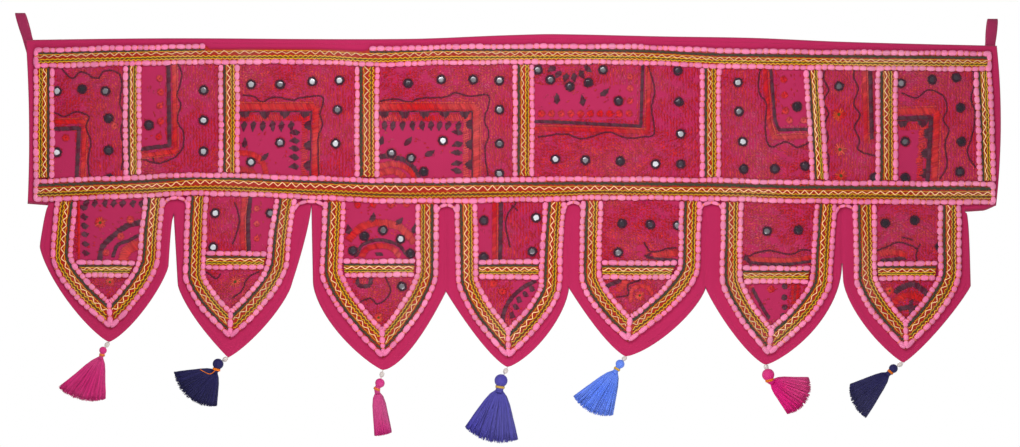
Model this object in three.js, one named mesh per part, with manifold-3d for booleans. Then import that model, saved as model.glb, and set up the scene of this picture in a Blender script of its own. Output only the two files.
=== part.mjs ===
// A toran, the cloth that hangs over a doorway: a backing cloth with a straight heading and
// seven pointed pennants, patches laid on it, raised trims couched over the patches' edges,
// a tassel at each pennant's point and a tape loop at each top corner.
//
// Millimetres. X runs along the door head, Z is up and the worked face looks along -Y.
// The origin is the middle of the backing cloth's top edge, on its face.
import * as THREE from "three";
import { mergeVertices } from "three/addons/utils/BufferGeometryUtils.js";
import Module from "manifold-3d";

const { lerp, degToRad } = THREE.MathUtils;

// Layers, counted outwards from the face of the backing cloth.
const BACKING_THICK = 1.6;
const PATCH = { back: 0.45, face: 1.45 };
const TRIM = { back: 0.4, overPatch: 1.85, rim: 2.3, cord: 3.9, middle: 2.9 };
const CORD_MIDDLE = 2.2; // from a trim's side to the crown of its edge cord
const CORD_WIDE = 4.6;
const TUCK = 4; // how far a patch runs in under a trim
const TUCK_ROOM = 0.5;
const BUTT_GAP = 0.4; // between two trims that meet

// How the hung cloth stands off a flat plane: shallow waves, and a curl at each pennant's point.
const WAVES = [
  { depth: 1.5, along: 620, down: 900, shift: 0.4 },
  { depth: 0.9, along: -340, down: 520, shift: 1.9 },
  { depth: 0.5, along: 290, down: -330, shift: 4.0 },
];
const CURL_FROM = -180;
const CURL_DROP = 160;

// The heading's outline.
const TOP_EDGE = [
  { x: -500, z: -5 },
  { x: -350, z: -3.5 },
  { x: -110, z: -4 },
  { x: 0, z: 0 },
  { x: 45, z: 1 },
  { x: 160, z: -1.5 },
  { x: 250, z: -3.2 },
  { x: 340, z: -7 },
  { x: 500, z: -11 },
];
const HEADING_FOOT = [
  { x: -498.5, z: -174 },
  { x: -477.4, z: -175.6 },
  { x: -206, z: -177.3 },
  { x: 340, z: -178 },
  { x: 467, z: -182.3 },
  { x: 487, z: -181 },
  { x: 499, z: -175.7 },
];
const LEFT_END = { top: -500.5, middle: -497, foot: -498.5 };
const RIGHT_END = { top: 500, middle: 504, foot: 499 };

// Where neighbouring pennants part, from the left corner to the right one.
const PARTINGS = [
  { x: -477.4, z: -175.6 },
  { x: -348.1, z: -186.4 },
  { x: -206, z: -177.3 },
  { x: -67.5, z: -264.7 },
  { x: 59.2, z: -261 },
  { x: 200.1, z: -261 },
  { x: 340.4, z: -235.9 },
  { x: 467, z: -182.3 },
];

// A pennant's edge falls from its parting to a knee and closes on its point. A fall under 1
// bows the edge out above the knee, and a pennant that is joined to its neighbour down to the
// knee has none. Swell rounds the knee, blunt rounds the point, and curl brings the point
// forward (less than 0) or back.
const PENNANTS = [
  {
    tip: { x: -414.6, z: -316.2, curl: -3 },
    left: { x: -486.2, z: -217.3, fall: 0.7, swell: 1.35, blunt: 0.8 },
    right: { x: -353.3, z: -237.9, fall: 0.55, swell: 1.25, blunt: 0.76 },
  },
  {
    tip: { x: -292, z: -332.2, curl: 2 },
    left: { x: -344, z: -256.5, fall: 1, swell: 1.35, blunt: 0.96 },
    right: { x: -226.1, z: -256.5, fall: 1.3, swell: 1.3, blunt: 0.83 },
  },
  {
    tip: { x: -132.4, z: -345.1, curl: -2.5 },
    left: { x: -204.5, z: -254.4, fall: 1, swell: 1.6, blunt: 0.84 },
    right: { x: -67.5, z: -264.7, swell: 1, blunt: 0.62 },
  },
  {
    tip: { x: -4.1, z: -342, curl: 1.5 },
    left: { x: -67.5, z: -264.7, swell: 1, blunt: 0.76 },
    right: { x: 59.2, z: -261, swell: 1.5, blunt: 0.73 },
  },
  {
    tip: { x: 117.9, z: -331.1, curl: -2 },
    left: { x: 59.2, z: -261, swell: 1, blunt: 0.75 },
    right: { x: 200.1, z: -261, swell: 1.3, blunt: 0.71 },
  },
  {
    tip: { x: 262.1, z: -339.9, curl: 2.5 },
    left: { x: 200.1, z: -261, swell: 1.1, blunt: 0.75 },
    right: { x: 340.4, z: -235.9, swell: 1.9, blunt: 0.78 },
  },
  {
    tip: { x: 403.2, z: -337.3, curl: -1.5 },
    left: { x: 341.4, z: -252.4, fall: 1, swell: 1.5, blunt: 0.85 },
    right: { x: 472.8, z: -258.5, fall: 0.3, swell: 1.1, blunt: 0.84 },
  },
];
// The backing's rows in the pennants: one at each parting's height, and some near a point.
const PENNANT_LEVELS = [-186.4, -200, -217.3, -235.9, -261, -264.7, -280, -296, -312];
const NEAR_TIP = [12, 5, 1.5];
const LAST_LEVEL = 14; // how near a point the last of the levels may lie
const SEAM_SINK = 1.2; // the backing draws back a little where two joined pennants meet
const SEAM_TOP = -180;
const SAME_PLACE = 0.01;
const PENNANT_PLACES = 4; // places across a pennant
const HEADING_ROWS = 6;

// The heading's trims: the two long ones by their middle lines, the upright ones by x.
const TOP_TRIM = {
  wide: 20,
  line: [
    { x: -491, z: -24.2 },
    { x: -340, z: -20.6 },
    { x: -200, z: -20 },
    { x: -141, z: -22.6 },
    { x: -60, z: -20.6 },
    { x: 120, z: -20.3 },
    { x: 225, z: -24.7 },
    { x: 494, z: -27.4 },
  ],
};
const BOTTOM_TRIM = {
  wide: 22.5,
  line: [
    { x: -491.5, z: -160 },
    { x: -398, z: -156.6 },
    { x: -321, z: -153.5 },
    { x: -218, z: -156.6 },
    { x: -115, z: -159.1 },
    { x: 29, z: -157.6 },
    { x: 194, z: -158.6 },
    { x: 297, z: -161.2 },
    { x: 497.5, z: -162.8 },
  ],
};
const UPRIGHTS = [
  { name: "trim_end_left", top: -481, foot: -481, wide: 20.5 },
  { name: "trim_divider_1", top: -390, foot: -390, wide: 18 },
  { name: "trim_divider_2", top: -290.6, foot: -290.6, wide: 21 },
  { name: "trim_divider_3", top: -148.7, foot: -148.7, wide: 24.5 },
  { name: "trim_divider_4", top: 12.4, foot: 12.4, wide: 21.5 },
  { name: "trim_divider_5", top: 204.5, foot: 204.5, wide: 21 },
  { name: "trim_divider_6", top: 310, foot: 317, wide: 18 },
  { name: "trim_divider_7", top: 386, foot: 386, wide: 22 },
  { name: "trim_end_right", top: 485, foot: 489, wide: 18 },
];

// A pennant's trim by its middle line: down one leg, round the knees, to the point and back up.
// The bar crosses between its legs.
const PENNANT_TRIMS = [
  {
    wide: 22,
    left: { top: -457.5, x: -463.2, z: -227.6 },
    tip: { x: -413.5, z: -288.4 },
    right: { top: -367.4, x: -373.4, z: -229.7 },
    bar: { z: -241, wide: 17 },
  },
  {
    wide: 22,
    left: { top: -323, x: -326.5, z: -246.1 },
    tip: { x: -289.4, z: -298.2 },
    right: { top: -231.8, x: -240.5, z: -233.8 },
    bar: { z: -232.1, wide: 18 },
  },
  {
    wide: 22.5,
    left: { top: -181.4, x: -185.4, z: -242.1 },
    tip: { x: -132.7, z: -317.3 },
    right: { top: -87, x: -87, z: -244.1 },
    bar: { z: -240, wide: 18 },
  },
  {
    wide: 22.5,
    left: { top: -46.9, x: -45.8, z: -249.3 },
    tip: { x: -3.6, z: -317.3 },
    right: { top: 44.6, x: 39.7, z: -257.5 },
    bar: { z: -241.5, wide: 19.5 },
  },
  {
    wide: 22,
    left: { top: 82.9, x: 80.9, z: -248.2 },
    tip: { x: 121, z: -302.8 },
    right: { top: 184.4, x: 182.8, z: -237.9 },
    bar: { z: -242.1, wide: 18.5 },
  },
  {
    wide: 22,
    left: { top: 227.1, x: 226.1, z: -249.3 },
    tip: { x: 266.3, z: -315.2 },
    right: { top: 323.9, x: 318.8, z: -251.3 },
    bar: { z: -247, wide: 17.5 },
  },
  {
    wide: 23,
    left: { top: 363.1, x: 364.1, z: -248.2 },
    tip: { x: 405.3, z: -309 },
    right: { top: 450.4, x: 450.6, z: -244.1 },
    bar: { z: -242.9, wide: 19 },
  },
];
const KNEE_SWELL = 1.5;
const LEG_STEPS = 3;
const LEG_BOW = 0.5; // a leg's upper part bows outwards by this share of its lean
const SLANT_HEIGHTS = [0.86, 0.68, 0.45, 0.2]; // stations between a knee and the point
const SHARPEST = 0.5; // the least cosine that a mitre is lengthened for

// How finely the flat pieces are divided.
const LONG_TRIM_STEPS = 32;
const UPRIGHT_STEPS = 5;
const BAR_STEPS = 3;
const PATCH_ACROSS = 26; // a heading patch has a place about this often
const PATCH_ROWS = 5;
const UPPER_ROWS = 3;
const LOWER_ROWS = 4;
const PENNANT_PATCH_PLACES = 3;

// A tassel hangs by its thread from a pennant's point. Its skirt fans out from the tie: lean is
// the fan's middle and spread half its angle, in degrees from straight down, right more than 0.
// The locks are longLeft and longRight at the fan's two sides and belly longer in its middle.
const TASSELS = [
  {
    head: { x: -420.8, z: -324.9, r: 3.9 },
    tie: { x: -421.8, z: -329.6 },
    skirt: { lean: -24, spread: 25, longLeft: 54, longRight: 44, belly: 2, round: 3.5 },
    colour: 0xc03078,
  },
  {
    head: { x: -302.3, z: -338.9, r: 5.6 },
    tie: { x: -303.9, z: -344.5 },
    skirt: { lean: -43, spread: 38, longLeft: 44, longRight: 35, belly: 0, round: 4 },
    colour: 0x2b2450,
  },
  {
    head: { x: -135.4, z: -358.4, r: 4.9 },
    tie: { x: -138.5, z: -364.6 },
    skirt: { lean: 7, spread: 5, longLeft: 47, longRight: 46, belly: 1, round: 6.6 },
    colour: 0xc83d83,
  },
  {
    head: { x: -10.8, z: -356, r: 6.7 },
    tie: { x: -11.8, z: -362.6 },
    skirt: { lean: -11, spread: 26, longLeft: 52, longRight: 54, belly: 4, round: 6 },
    colour: 0x4b489a,
  },
  {
    head: { x: 111.8, z: -338.9, r: 4.6 },
    tie: { x: 108.7, z: -344 },
    skirt: { lean: -29, spread: 25, longLeft: 51, longRight: 45, belly: 4, round: 3.5 },
    colour: 0x6180e3,
  },
  {
    head: { x: 264.7, z: -350.2, r: 6.4 },
    tie: { x: 266.3, z: -355.9 },
    skirt: { lean: 57, spread: 33, longLeft: 33, longRight: 37, belly: 7, round: 4 },
    colour: 0xc03177,
  },
  {
    head: { x: 393, z: -343.5, r: 4.6 },
    tie: { x: 389.9, z: -347.1 },
    skirt: { lean: -52, spread: 21, longLeft: 40, longRight: 52, belly: 3, round: 3.5 },
    colour: 0x322e58,
  },
];
const THREAD_RADIUS = 0.7;
const ROD_SIDES = 8;
const THREAD_GAP = 0.4; // between the thread's end and the cloth's point
const LOCK_ROWS = [
  { depth: -0.66, locks: 6 },
  { depth: 0, locks: 7 },
  { depth: 0.66, locks: 6 },
];
const LOCK_PLACE = 0.29; // across the fan, whose half is 1
const LOCK_FILL = 0.74; // a lock's width as a share of its place
const LOCK_DEEP = 0.32; // half a lock's depth, where the skirt's half is 1
const LOCK_STEPS = [0.2, 0.62, 1];
const ROOT_STEPS = [0.02, 0.14, 0.3];
const ROOT_RING = [
  { side: 1.08, depth: 0.7 },
  { side: 0.85, depth: 1.1 },
  { side: 0, depth: 1.15 },
  { side: -0.85, depth: 1.1 },
  { side: -1.08, depth: 0.7 },
  { side: -1.08, depth: -0.7 },
  { side: -0.85, depth: -1.1 },
  { side: 0, depth: -1.15 },
  { side: 0.85, depth: -1.1 },
  { side: 1.08, depth: -0.7 },
];
const SKIRT_DEPTH = { root: 3.4, grow: 2.6 };
const SHOULDER = 0.3; // the share of a skirt's length in which it opens to its full depth
const BALL_SIDES = 8;
const BALL_ROWS = 6;
const NECK = { foot: 0.1, top: 0.8, bottom: 0.72 }; // its end on the skirt, and its radii by the head's

// A tape loop stands on each top corner, its two ends sewn behind the cloth.
const TAPE = { wide: 10.5, thick: 1.4, tail: 16 };
const EYE = { foot: 4, broad: 17, top: 26.6, halfBroad: 4.2, halfTop: 1.8 };
const PINCH = 2; // the tape's two sides part this far below the eye
const BEND = { outside: 8, inside: 6, shoulder: 1.5 };
const BEND_STEPS = 4;
const LOOPS = [
  { name: "loop_left", x: -498.5, z: -5, lean: -0.29 },
  { name: "loop_right", x: 493.5, z: -11, lean: 0.09 },
];
const TAPE_CLEAR = 0.45;

const COLOURS = {
  backing: 0xb9356a,
  ground: 0xa92f55,
  pennantGround: 0xb23560,
  trim: 0xd06a60,
  tape: 0x98304f,
};

// A smooth line z(x) through a table's rows, held level past its ends.
function smoothLine(rows) {
  const last = rows.length - 1;
  const slopes = rows.map((row, i) => {
    const before = rows[Math.max(i - 1, 0)];
    const after = rows[Math.min(i + 1, last)];
    return (after.z - before.z) / (after.x - before.x);
  });
  return (x) => {
    let i = 0;
    while (i < last - 1 && x > rows[i + 1].x) i += 1;
    const wide = rows[i + 1].x - rows[i].x;
    const t = THREE.MathUtils.clamp((x - rows[i].x) / wide, 0, 1);
    const away = t * (1 - t) * wide;
    return (
      lerp(rows[i].z, rows[i + 1].z, t * t * (3 - 2 * t)) +
      away * ((1 - t) * slopes[i] - t * slopes[i + 1])
    );
  };
}

// A straight-sided line z(x) through a table's rows.
function brokenLine(rows) {
  return (x) => {
    let i = 0;
    while (i < rows.length - 2 && x > rows[i + 1].x) i += 1;
    return lerp(rows[i].z, rows[i + 1].z, (x - rows[i].x) / (rows[i + 1].x - rows[i].x));
  };
}

const topEdge = smoothLine(TOP_EDGE);
const headingFoot = brokenLine(HEADING_FOOT);
const topTrimLine = smoothLine(TOP_TRIM.line);
const bottomTrimLine = smoothLine(BOTTOM_TRIM.line);
const curlAt = smoothLine(PENNANTS.map(({ tip }) => ({ x: tip.x, z: tip.curl })));

// How far the backing's face stands behind the plane y = 0 at a place.
function hang(x, z) {
  const waves = WAVES.reduce((sum, wave) => {
    const turn = 2 * Math.PI * (x / wave.along + z / wave.down) + wave.shift;
    return sum + wave.depth * (Math.cos(turn) - Math.cos(wave.shift));
  }, 0);
  const below = Math.max(0, (CURL_FROM - z) / CURL_DROP);
  return waves + curlAt(x) * below * below;
}

// The value at v through three evenly spaced values.
function bow({ top, middle, foot }, v) {
  const straight = lerp(top, foot, v);
  const lift = middle - (top + foot) / 2;
  return straight + 4 * lift * v * (1 - v);
}

// Half a pennant's edge at a height: x on its way from the parting by the knee to the point.
function pennantSide(parting, knee, tip, z) {
  if (z >= parting.z) return parting.x;
  if (z >= knee.z) {
    const t = (parting.z - z) / (parting.z - knee.z);
    return lerp(parting.x, knee.x, t ** knee.fall);
  }
  const up = Math.max(0, (z - tip.z) / (knee.z - tip.z));
  return lerp(tip.x, knee.x, (1 - (1 - up) ** knee.swell) ** knee.blunt);
}

// A flat mesh of X and Z that grows by grids of rows. Corners at one place are one corner.
function flatMesh() {
  const corners = [];
  const triangles = [];
  const found = new Map();
  const corner = ({ x, z }) => {
    const key = x.toFixed(3) + "," + z.toFixed(3);
    if (!found.has(key)) {
      found.set(key, corners.length);
      corners.push({ x, z });
    }
    return found.get(key);
  };
  const triangle = (a, b, c) => {
    if (a !== b && b !== c && c !== a) triangles.push([a, b, c]);
  };
  // Rows run downwards and their places from left to right.
  const addRows = (rows) => {
    const ids = rows.map((row) => row.map(corner));
    for (let i = 0; i + 1 < ids.length; i += 1)
      for (let j = 0; j + 1 < ids[i].length; j += 1) {
        triangle(ids[i][j], ids[i + 1][j], ids[i + 1][j + 1]);
        triangle(ids[i][j], ids[i + 1][j + 1], ids[i][j + 1]);
      }
  };
  return { corners, triangles, addRows };
}

// A closed geometry from places and triangles, turned so that its faces look outwards.
function closedGeometry(places, triangles) {
  let volume = 0;
  const [a, b, c] = [new THREE.Vector3(), new THREE.Vector3(), new THREE.Vector3()];
  for (const [i, j, k] of triangles) {
    a.fromArray(places[i]);
    b.fromArray(places[j]);
    c.fromArray(places[k]);
    volume += a.dot(b.cross(c));
  }
  const index = volume > 0 ? triangles : triangles.map(([i, j, k]) => [i, k, j]);
  const geometry = new THREE.BufferGeometry();
  geometry.setAttribute("position", new THREE.Float32BufferAttribute(places.flat(), 3));
  geometry.setIndex(index.flat());
  return geometry;
}

// A sheet that follows the hanging cloth, from a flat mesh and two distances off the backing.
function sheet(flat, face, back, sink = () => 0) {
  const count = flat.corners.length;
  const layer = (off) =>
    flat.corners.map(({ x, z }) => [x, hang(x, z) + sink(x, z) - off, z]);
  const edges = new Set();
  for (const [a, b, c] of flat.triangles)
    for (const edge of [[a, b], [b, c], [c, a]]) edges.add(edge.join());
  const sides = flat.triangles.flatMap(([a, b, c]) =>
    [[a, b], [b, c], [c, a]]
      .filter(([from, to]) => !edges.has(to + "," + from))
      .flatMap(([from, to]) => [
        [to, from, from + count],
        [to, from + count, to + count],
      ]),
  );
  const backs = flat.triangles.map(([a, b, c]) => [c + count, b + count, a + count]);
  return closedGeometry([...layer(face), ...layer(back)], [...flat.triangles, ...backs, ...sides]);
}

// The ring of a trim's cross-section: a cord stands up along each side, and the underside
// rises over a patch that runs in under that side.
function trimSection(wide, tucked) {
  const half = wide / 2;
  const face = [
    { across: -half, out: TRIM.rim },
    { across: CORD_MIDDLE - half, out: TRIM.cord },
    { across: CORD_WIDE - half, out: TRIM.middle },
    { across: half - CORD_WIDE, out: TRIM.middle },
    { across: half - CORD_MIDDLE, out: TRIM.cord },
    { across: half, out: TRIM.rim },
  ];
  const under = (side) => {
    if (!tucked.includes(side)) return [{ across: side * half, out: TRIM.back }];
    const step = side * (half - TUCK - TUCK_ROOM);
    return [
      { across: side * half, out: TRIM.overPatch },
      { across: step, out: TRIM.overPatch },
      { across: step, out: TRIM.back },
    ];
  };
  return [...face, ...under(1), ...under(-1).reverse()];
}

// A trim carried over stations. A station gives the place that lies a distance across it.
function trimAlong(stations, wide, tucked) {
  const ring = trimSection(wide, tucked);
  const size = ring.length;
  const places = stations.flatMap((station) =>
    ring.map(({ across, out }) => {
      const { x, z } = station(across);
      return [x, hang(x, z) - out, z];
    }),
  );
  const triangles = [];
  for (let i = 0; i + 1 < stations.length; i += 1)
    for (let j = 0; j < size; j += 1) {
      const [a, b] = [i * size + j, i * size + ((j + 1) % size)];
      triangles.push([a, b, b + size], [a, b + size, a + size]);
    }
  const contour = ring.map(({ across, out }) => new THREE.Vector2(across, out)).reverse();
  const end = (stations.length - 1) * size;
  for (const cut of THREE.ShapeUtils.triangulateShape(contour, [])) {
    const turned = THREE.ShapeUtils.isClockWise(cut.map((i) => contour[i])) ? cut : cut.toReversed();
    const [a, b, c] = turned.map((i) => size - 1 - i);
    triangles.push([a, c, b]);
    triangles.push([a + end, b + end, c + end]);
  }
  return closedGeometry(places, triangles);
}

const steps = (count) => Array.from({ length: count + 1 }, (_, i) => i / count);

// Each long trim is set out straight up and down from its middle line.
function longTrim({ wide, line }, middle, tucked) {
  const [first, last] = [line[0].x, line[line.length - 1].x];
  const stations = steps(LONG_TRIM_STEPS).map((t) => {
    const x = lerp(first, last, t);
    return (across) => ({ x, z: middle(x) + across });
  });
  return trimAlong(stations, wide, tucked);
}

// A place between the two long trims: v is 0 at the top trim and 1 at the bottom one, and
// inset draws both ends in, or under the trims when it is less than 0.
function headingPlace(x, v, inset) {
  const top = topTrimLine(x) - TOP_TRIM.wide / 2 - inset;
  const foot = bottomTrimLine(x) + BOTTOM_TRIM.wide / 2 + inset;
  return { x, z: lerp(top, foot, v) };
}

function uprightTrim({ top, foot, wide }, tucked) {
  const stations = steps(UPRIGHT_STEPS).map(
    (v) => (across) => headingPlace(lerp(top, foot, v) + across, v, BUTT_GAP),
  );
  return trimAlong(stations, wide, tucked);
}

// A heading patch fills the space between two uprights and runs in under all four trims.
function headingPatch(before, after) {
  const flat = flatMesh();
  const broad = after.top - before.top;
  const across = steps(Math.round(broad / PATCH_ACROSS));
  const rows = steps(PATCH_ROWS).map((v) => {
    const left = lerp(before.top, before.foot, v) + before.wide / 2 - TUCK;
    const right = lerp(after.top, after.foot, v) - after.wide / 2 + TUCK;
    return across.map((u) => headingPlace(lerp(left, right, u), v, -TUCK));
  });
  flat.addRows(rows);
  return sheet(flat, PATCH.face, PATCH.back);
}

// The middle line of a pennant's trim, with the way across at each place: inwards is more
// than 0, level at the trim's two cut ends, and lengthened at the point so that the two legs
// meet in a mitre.
function pennantTrimLine({ wide, left, tip, right }) {
  const leg = (side) => {
    const top = bottomTrimLine(side.top) - BOTTOM_TRIM.wide / 2 - 2 * BUTT_GAP;
    const straight = steps(LEG_STEPS).map((t) => ({
      x: lerp(side.top, side.x, t * (1 + LEG_BOW * (1 - t))),
      z: lerp(top, side.z, t),
    }));
    const slanted = SLANT_HEIGHTS.map((up) => ({
      x: lerp(tip.x, side.x, 1 - (1 - up) ** KNEE_SWELL),
      z: lerp(tip.z, side.z, up),
    }));
    return [...straight, ...slanted];
  };
  const line = [...leg(left), tip, ...leg(right).reverse()];
  const heading = (a, b) => new THREE.Vector2(b.x - a.x, b.z - a.z).normalize();
  return line.map((place, i) => {
    const before = heading(line[Math.max(i - 1, 0)], line[Math.max(i, 1)]);
    const after = heading(line[Math.min(i, line.length - 2)], line[Math.min(i + 1, line.length - 1)]);
    const along = before.clone().add(after).normalize();
    const level = i === 0 || i === line.length - 1;
    if (level) along.set(0, Math.sign(along.y));
    const stretch = level ? 1 : 1 / Math.max(along.dot(before), SHARPEST);
    return { ...place, inX: -along.y * stretch, inZ: along.x * stretch, wide };
  });
}

const acrossLine = (place) => (across) => ({
  x: place.x + place.inX * across,
  z: place.z + place.inZ * across,
});

// The x of a pennant trim's leg at a height, a distance inwards of its middle line.
function legAt(line, side, inwards, z) {
  const middle = (line.length - 1) / 2;
  const half = side < 0 ? line.slice(0, middle + 1) : line.slice(middle).reverse();
  const places = half.map((place) => acrossLine(place)(inwards));
  let i = 0;
  while (i < places.length - 2 && z < places[i + 1].z) i += 1;
  const t = (z - places[i].z) / (places[i + 1].z - places[i].z);
  return lerp(places[i].x, places[i + 1].x, Math.max(t, 0));
}

function pennantBar(line, bar) {
  const half = line[0].wide / 2;
  const stations = steps(BAR_STEPS).map((u) => (across) => {
    const z = bar.z + across;
    const left = legAt(line, -1, half, z) + BUTT_GAP;
    const right = legAt(line, 1, half, z) - BUTT_GAP;
    return { x: lerp(left, right, u), z };
  });
  return trimAlong(stations, bar.wide, [-1, 1]);
}

// The patch above a pennant's bar, from under the heading's bottom trim.
function upperPatch(line, bar) {
  const flat = flatMesh();
  const inwards = line[0].wide / 2 - TUCK;
  const foot = bar.z + bar.wide / 2 - TUCK;
  const top = bottomTrimLine(line[0].x) - BOTTOM_TRIM.wide / 2 + TUCK;
  const rows = steps(UPPER_ROWS).map((v) => {
    const z = lerp(top, foot, v);
    const left = legAt(line, -1, inwards, z);
    const right = legAt(line, 1, inwards, z);
    return steps(PENNANT_PATCH_PLACES).map((u) => {
      const x = lerp(left, right, u);
      const under = bottomTrimLine(x) - BOTTOM_TRIM.wide / 2 + TUCK;
      return { x, z: lerp(under, foot, v) };
    });
  });
  flat.addRows(rows);
  return sheet(flat, PATCH.face, PATCH.back);
}

// The pointed patch below the bar.
function lowerPatch(line, bar) {
  const flat = flatMesh();
  const inwards = line[0].wide / 2 - TUCK;
  const tip = acrossLine(line[(line.length - 1) / 2])(inwards);
  const top = bar.z - bar.wide / 2 + TUCK;
  const rows = steps(LOWER_ROWS).map((v) => {
    if (v === 1) return steps(PENNANT_PATCH_PLACES).map(() => tip);
    const z = lerp(top, tip.z, v);
    const left = legAt(line, -1, inwards, z);
    const right = legAt(line, 1, inwards, z);
    return steps(PENNANT_PATCH_PLACES).map((u) => ({ x: lerp(left, right, u), z }));
  });
  flat.addRows(rows);
  return sheet(flat, PATCH.face, PATCH.back);
}

// The backing cloth: heading and pennants in one sheet, parted between the pennants.
function backingCloth() {
  const flat = flatMesh();
  const tops = PARTINGS.slice(1).map((to, i) =>
    steps(PENNANT_PLACES).map((u) => lerp(PARTINGS[i].x, to.x, u)),
  );
  const [left, right] = [HEADING_FOOT[0].x, HEADING_FOOT[HEADING_FOOT.length - 1].x];
  const columns = [left, ...new Set(tops.flat()), HEADING_FOOT.at(-2).x, right];
  flat.addRows(
    steps(HEADING_ROWS).map((v) =>
      columns.map((column) => {
        const share = (column - left) / (right - left);
        const x = lerp(bow(LEFT_END, v), bow(RIGHT_END, v), share);
        const top = topEdge(x);
        return { x: v === 1 ? column : x, z: lerp(top, headingFoot(column), v) };
      }),
    ),
  );
  PENNANTS.forEach(({ tip, left: leftKnee, right: rightKnee }, i) => {
    const heights = [
      ...PENNANT_LEVELS.filter((z) => z > tip.z + LAST_LEVEL),
      ...NEAR_TIP.map((up) => tip.z + up),
    ];
    const rows = heights.map((z) => {
      const from = pennantSide(PARTINGS[i], leftKnee, tip, z);
      const to = pennantSide(PARTINGS[i + 1], rightKnee, tip, z);
      return steps(PENNANT_PLACES).map((u) => ({ x: lerp(from, to, u), z }));
    });
    const first = tops[i].map((x) => ({ x, z: headingFoot(x) }));
    const point = steps(PENNANT_PLACES).map(() => tip);
    flat.addRows([first, ...rows, point]);
  });
  const seam = (x, z) =>
    PARTINGS.slice(1, -1).some((parting) => Math.abs(parting.x - x) < SAME_PLACE && z < SEAM_TOP)
      ? SEAM_SINK
      : 0;
  return sheet(flat, 0, -BACKING_THICK, seam);
}

const wasm = await Module();
wasm.setup();

function solidFrom(geometry) {
  const bare = geometry.clone();
  bare.deleteAttribute("normal");
  bare.deleteAttribute("uv");
  const merged = mergeVertices(bare, 1e-4);
  const mesh = new wasm.Mesh({
    numProp: 3,
    vertProperties: merged.attributes.position.array,
    triVerts: new Uint32Array(merged.index.array),
  });
  return new wasm.Manifold(mesh);
}

function geometryFrom(solid) {
  const { vertProperties, triVerts } = solid.getMesh();
  const geometry = new THREE.BufferGeometry();
  geometry.setAttribute("position", new THREE.BufferAttribute(vertProperties, 3));
  geometry.setIndex(new THREE.BufferAttribute(triVerts, 1));
  return geometry;
}

// A closed body from rings of places, each ring with the same count, flat at both ends.
function ringedBody(rings) {
  const size = rings[0].length;
  const triangles = [];
  for (let i = 0; i + 1 < rings.length; i += 1)
    for (let j = 0; j < size; j += 1) {
      const [a, b] = [i * size + j, i * size + ((j + 1) % size)];
      triangles.push([a, b, b + size], [a, b + size, a + size]);
    }
  const end = (rings.length - 1) * size;
  for (let j = 1; j + 1 < size; j += 1) {
    triangles.push([0, j + 1, j]);
    triangles.push([end, end + j, end + j + 1]);
  }
  return closedGeometry(rings.flat(), triangles);
}

// A place in a tassel's skirt: side is -1 to 1 across the fan, depth -1 to 1 from front to
// back, and t 0 to 1 from the tie to the locks' ends.
function skirtPlace({ tie, skirt }, y, side, depth, t) {
  const long =
    lerp(skirt.longLeft, skirt.longRight, (side + 1) / 2) + skirt.belly * (1 - side * side);
  const turn = degToRad(skirt.lean + side * skirt.spread);
  const middle = degToRad(skirt.lean);
  const opened = Math.min(1, t / SHOULDER);
  const open = Math.sin((Math.PI / 2) * opened) * skirt.round * side;
  return [
    tie.x + Math.sin(turn) * long * t + Math.cos(middle) * open,
    y + depth * (SKIRT_DEPTH.root * opened + SKIRT_DEPTH.grow * t),
    tie.z - Math.cos(turn) * long * t + Math.sin(middle) * open,
  ];
}

// A lock has three sides and grows broader towards its end.
function skirtLock(tassel, y, side, depth) {
  const broad = (LOCK_PLACE * LOCK_FILL) / 2;
  const corners = [
    { side: side - broad, depth: depth - LOCK_DEEP },
    { side: side + broad, depth: depth - LOCK_DEEP },
    { side, depth: depth + LOCK_DEEP },
  ];
  return ringedBody(
    LOCK_STEPS.map((t) => corners.map((c) => skirtPlace(tassel, y, c.side, c.depth, t))),
  );
}

function skirtRoot(tassel, y) {
  return ringedBody(
    ROOT_STEPS.map((t) => ROOT_RING.map((c) => skirtPlace(tassel, y, c.side, c.depth, t))),
  );
}

// A straight rod between two places, with its own radius at each.
function rod(from, to, fromRadius, toRadius) {
  const [a, b] = [new THREE.Vector3(...from), new THREE.Vector3(...to)];
  const along = b.clone().sub(a).normalize();
  const deep = new THREE.Vector3(0, 1, 0);
  const across = new THREE.Vector3().crossVectors(along, deep).normalize();
  const ring = (middle, radius) =>
    Array.from({ length: ROD_SIDES }, (_, i) => {
      const turn = (2 * Math.PI * i) / ROD_SIDES;
      return middle
        .clone()
        .addScaledVector(across, Math.cos(turn) * radius)
        .addScaledVector(deep, Math.sin(turn) * radius)
        .toArray();
    });
  return ringedBody([ring(a, fromRadius), ring(b, toRadius)]);
}

// One tassel: thread, round head, neck, and a skirt of locks that share a root.
function tassel(row, { tip }) {
  const { head, tie } = row;
  const y = hang(tip.x, tip.z) + BACKING_THICK / 2;
  const ball = new THREE.SphereGeometry(head.r, BALL_SIDES, BALL_ROWS);
  ball.rotateX(Math.PI / 2);
  ball.translate(head.x, y, head.z);
  const middle = [head.x, y, head.z];
  const top = [tip.x, y, tip.z - THREAD_GAP];
  const neckFoot = skirtPlace(row, y, 0, 0, NECK.foot);
  const parts = [
    ball,
    rod(top, middle, THREAD_RADIUS, THREAD_RADIUS),
    rod(middle, neckFoot, head.r * NECK.top, head.r * NECK.bottom),
    skirtRoot(row, y),
  ];
  for (const { depth, locks } of LOCK_ROWS)
    for (let i = 0; i < locks; i += 1) {
      const side = (i - (locks - 1) / 2) * LOCK_PLACE;
      parts.push(skirtLock(row, y, side, depth));
    }
  return geometryFrom(wasm.Manifold.union(parts.map(solidFrom)));
}

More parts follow.
